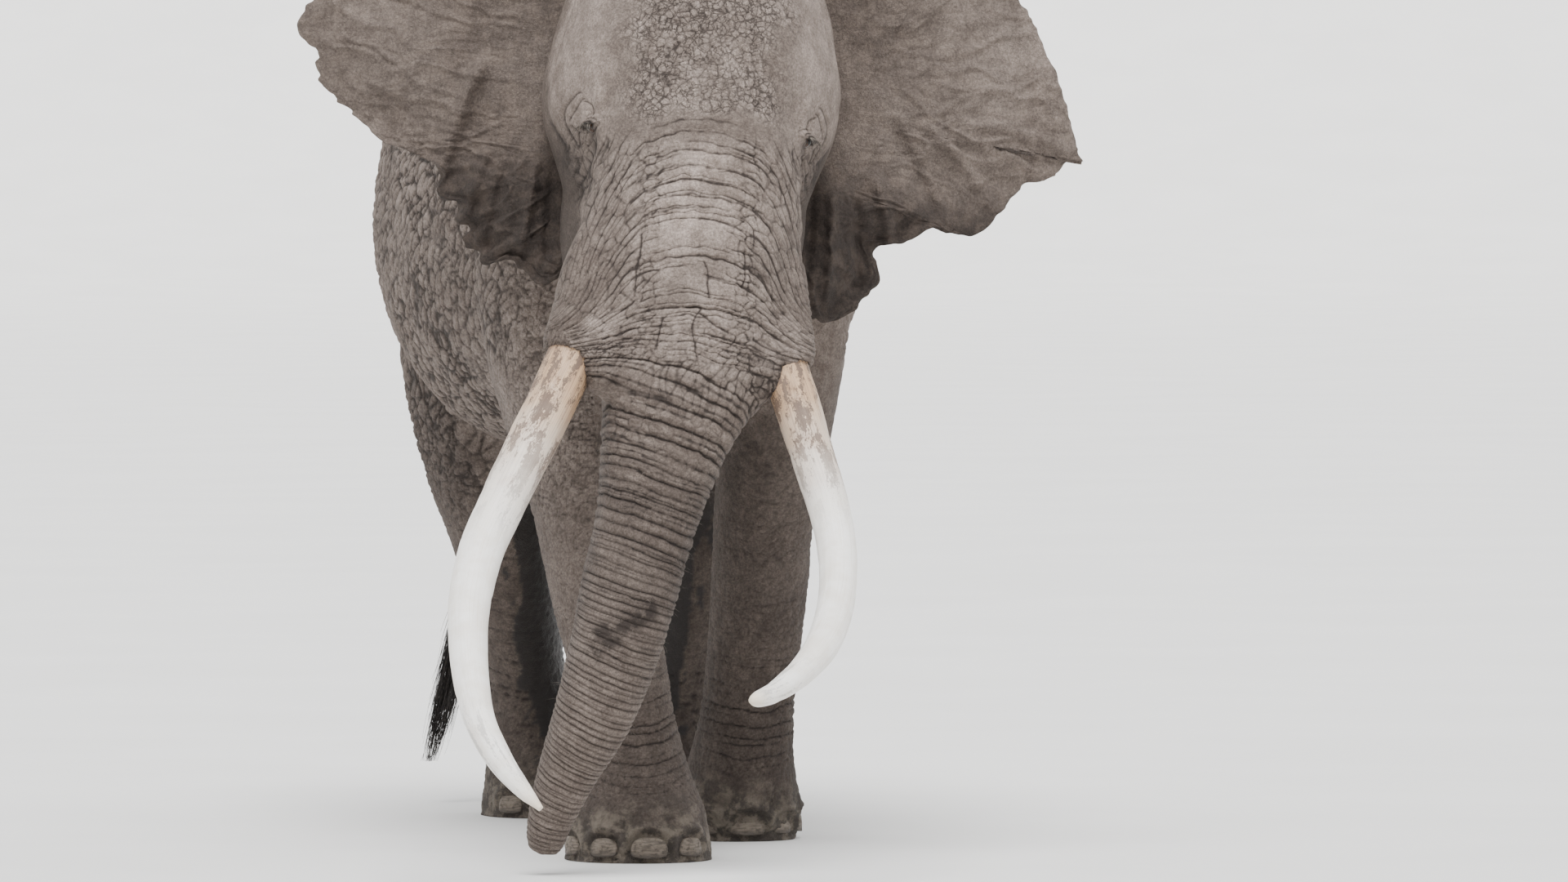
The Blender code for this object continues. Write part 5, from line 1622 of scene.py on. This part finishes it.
def eye_material():
    m = Paint("eye")
    iris = m.field("iris")
    rays = m.noise(m.places, 0.002, 3.0)
    base = m.blend(m.ramp(iris, 0.60, 0.68), (0.050, 0.034, 0.027), m.blend(
        rays, (0.022, 0.010, 0.005), (0.060, 0.028, 0.012)))
    base = m.blend(m.ramp(iris, 0.88, 0.91), base, (0.003, 0.002, 0.002))
    return m.finish(base, 0.08, IOR=1.38)


def nail_material():
    m = Paint("nail")
    up = m.field("rise")
    at = m.places
    band = m.noise(m.scaled(at, (0.03, 0.03, 0.006)), 1.0, 4.0)
    dirt = m.noise(at, 0.018, 4.0, 0.65)
    base = m.blend(m.ramp(band, 0.35, 0.65), (0.092, 0.074, 0.058), (0.170, 0.138, 0.108))
    base = m.over(base, (m.ramp(up, -0.2, -1.0, 0.0, 0.75), (0.036, 0.029, 0.024)),
                  (m.ramp(dirt, 0.50, 0.66, 0.0, 0.75), (0.052, 0.043, 0.035)))
    height = m.plus(band, 0.0022, m.times(dirt, 0.0018))
    return m.finish(base, m.ramp(dirt, 0.3, 0.7, 0.55, 0.80), height, IOR=1.50)


def hair_material(name, dark, light):
    m = Paint(name)
    mix = m.noise(m.places, 0.012, 2.0)
    return m.finish(m.blend(m.ramp(mix, 0.35, 0.7), dark, light), 0.55, IOR=1.50)


def floor_material():
    m = Paint("floor")
    tone = m.noise(m.places, 1.5, 3.0)
    base = m.blend(m.ramp(tone, 0.3, 0.7), (0.755, 0.745, 0.730), (0.785, 0.775, 0.760))
    return m.finish(base, 0.85)


# ---------------------------------------------------------------- the model
def build_skin():
    """The whole skin with its ears, the eyes' frames, and the bristles that grow on it."""
    mesh = fused_skin()
    eyes = eye_frames(mesh)
    fields = relief(mesh)
    # the painted shade round the eyes joins the dark field of the creases
    fields["dark"] = np.clip(fields["dark"] + open_eyes(mesh, eyes), 0, 1)
    put_fields(mesh, fields)
    mesh.shade_smooth()
    draft = new_object("skin_body", mesh)
    sheets = [draft]
    for name, side, margin in (("skin_ear_right", -1, EAR_MARGIN_RIGHT),
                               ("skin_ear_left", 1, EAR_MARGIN_LEFT)):
        ear, ear_fields = ear_sheet(name, side, margin)
        put_fields(ear, ear_fields)
        ear.shade_smooth()
        sheets.append(new_object(name, ear))
    bristles = bristle_mesh("bristles", mesh, eyes)
    with bpy.context.temp_override(active_object=draft, selected_editable_objects=sheets):
        bpy.ops.object.join()
    whole = draft.data
    whole.name = "skin"
    bpy.data.objects.remove(draft, do_unlink=True)
    return whole, eyes, bristles


skin, eyes, bristles = build_skin()
finished("skin", skin, skin_material(), FLESH_NODES)
ivory = ivory_material()
finished("tusk_right_ivory", tusk_mesh("tusk_right_ivory", TUSK_RIGHT, 501), ivory,
         ["tusk_right"])
finished("tusk_left_ivory", tusk_mesh("tusk_left_ivory", TUSK_LEFT, 511), ivory,
         ["tusk_left"])
glass = eye_material()
for ball_name, eye, node in (("eyeball_right", eyes[0], "eye_right"),
                             ("eyeball_left", eyes[1], "eye_left")):
    finished(ball_name, eyeball(ball_name, eye), glass, [node])
finished("nails", nail_mesh("nails"), nail_material())
finished("tail_switch", tuft_mesh("tail_switch"),
         hair_material("switch_hair", (0.012, 0.010, 0.009), (0.045, 0.036, 0.030)), ["tail_tuft"])
finished("bristles", bristles,
         hair_material("bristle_hair", (0.030, 0.024, 0.020), (0.20, 0.17, 0.14)))


# ---------------------------------------------------------------- stage, lights and camera
STAGE_LEVEL, STAGE_CURVE, STAGE_TOP = 135.0, 45.0, 90.0
FLOOR_GAP = 0.0005
KEY_SUN = (5.2, 38, (0.12, 0.62, -1.15))
FILL_SUN = (0.7, 100, (-0.6, 0.6, -0.5))
SKY, SKY_STRENGTH = (0.94, 0.97, 1.0, 1.0), 0.95
LENS, SENSOR = 254.475, 36.0
CAMERA_AZIMUTH, CAMERA_DROP = math.radians(-9.0), math.radians(1.498)
CAMERA_DISTANCE, CAMERA_HEIGHT, CAMERA_ASIDE = 36.0, 2.316, 0.25


def stage_floor():
    """A wide pale bowl: level under the bull, and curved up into a wall far behind him."""
    sides, steps = 128, 14
    profile = [(0.4 * STAGE_LEVEL, 0.0)]
    for k in range(steps + 1):
        angle = math.pi / 2 * k / steps
        profile.append((STAGE_LEVEL + STAGE_CURVE * math.sin(angle),
                        STAGE_CURVE * (1 - math.cos(angle))))
    profile.append((STAGE_LEVEL + STAGE_CURVE, STAGE_TOP))
    points = [(r * math.cos(a), r * math.sin(a), z) for r, z in profile
              for a in np.linspace(0, 2 * math.pi, sides, endpoint=False)] + [(0.0, 0.0, 0.0)]
    faces = [(i * sides + k, (i + 1) * sides + k, (i + 1) * sides + (k + 1) % sides,
              i * sides + (k + 1) % sides) for i in range(len(profile) - 1) for k in range(sides)]
    faces += [(len(points) - 1, k, (k + 1) % sides) for k in range(sides)]
    mesh = new_mesh("floor", points, faces)
    mesh.shade_smooth()
    mesh.materials.append(floor_material())
    floor = new_object("floor", mesh)
    floor.location = (0, 0, -FLOOR_GAP)


def sun(name, energy, spread, direction):
    light = bpy.data.lights.new(name, "SUN")
    light.energy = energy
    light.angle = math.radians(spread)
    new_object(name, light).rotation_euler = pointing(direction)


def pointing(direction):
    return Vector(direction).to_track_quat("-Z", "Y").to_euler()


def studio():
    """Soft high light from behind the viewer, a little from the left, as under thin cloud."""
    world = bpy.data.worlds.new("studio")
    bpy.context.scene.world = world
    world.use_nodes = True
    back = world.node_tree.nodes["Background"]
    back.inputs["Color"].default_value = SKY
    back.inputs["Strength"].default_value = SKY_STRENGTH
    sun("key", *KEY_SUN)
    sun("fill", *FILL_SUN)


def camera():
    """Far off ahead of the bull, a little to his right, at the height of his eyes."""
    data = bpy.data.cameras.new("camera")
    data.sensor_width = SENSOR
    data.lens = LENS
    data.clip_end = 5 * (STAGE_LEVEL + STAGE_CURVE)
    item = new_object("camera", data)
    ahead = np.array([-math.sin(CAMERA_AZIMUTH), math.cos(CAMERA_AZIMUTH), 0.0])
    item.location = (np.array([CAMERA_ASIDE, 0.0, CAMERA_HEIGHT]) + SHIFT
                     - CAMERA_DISTANCE * ahead)
    down = np.array([0, 0, -math.sin(CAMERA_DROP)])
    item.rotation_euler = pointing(ahead * math.cos(CAMERA_DROP) + down)
    bpy.context.scene.camera = item


stage_floor()
studio()
camera()
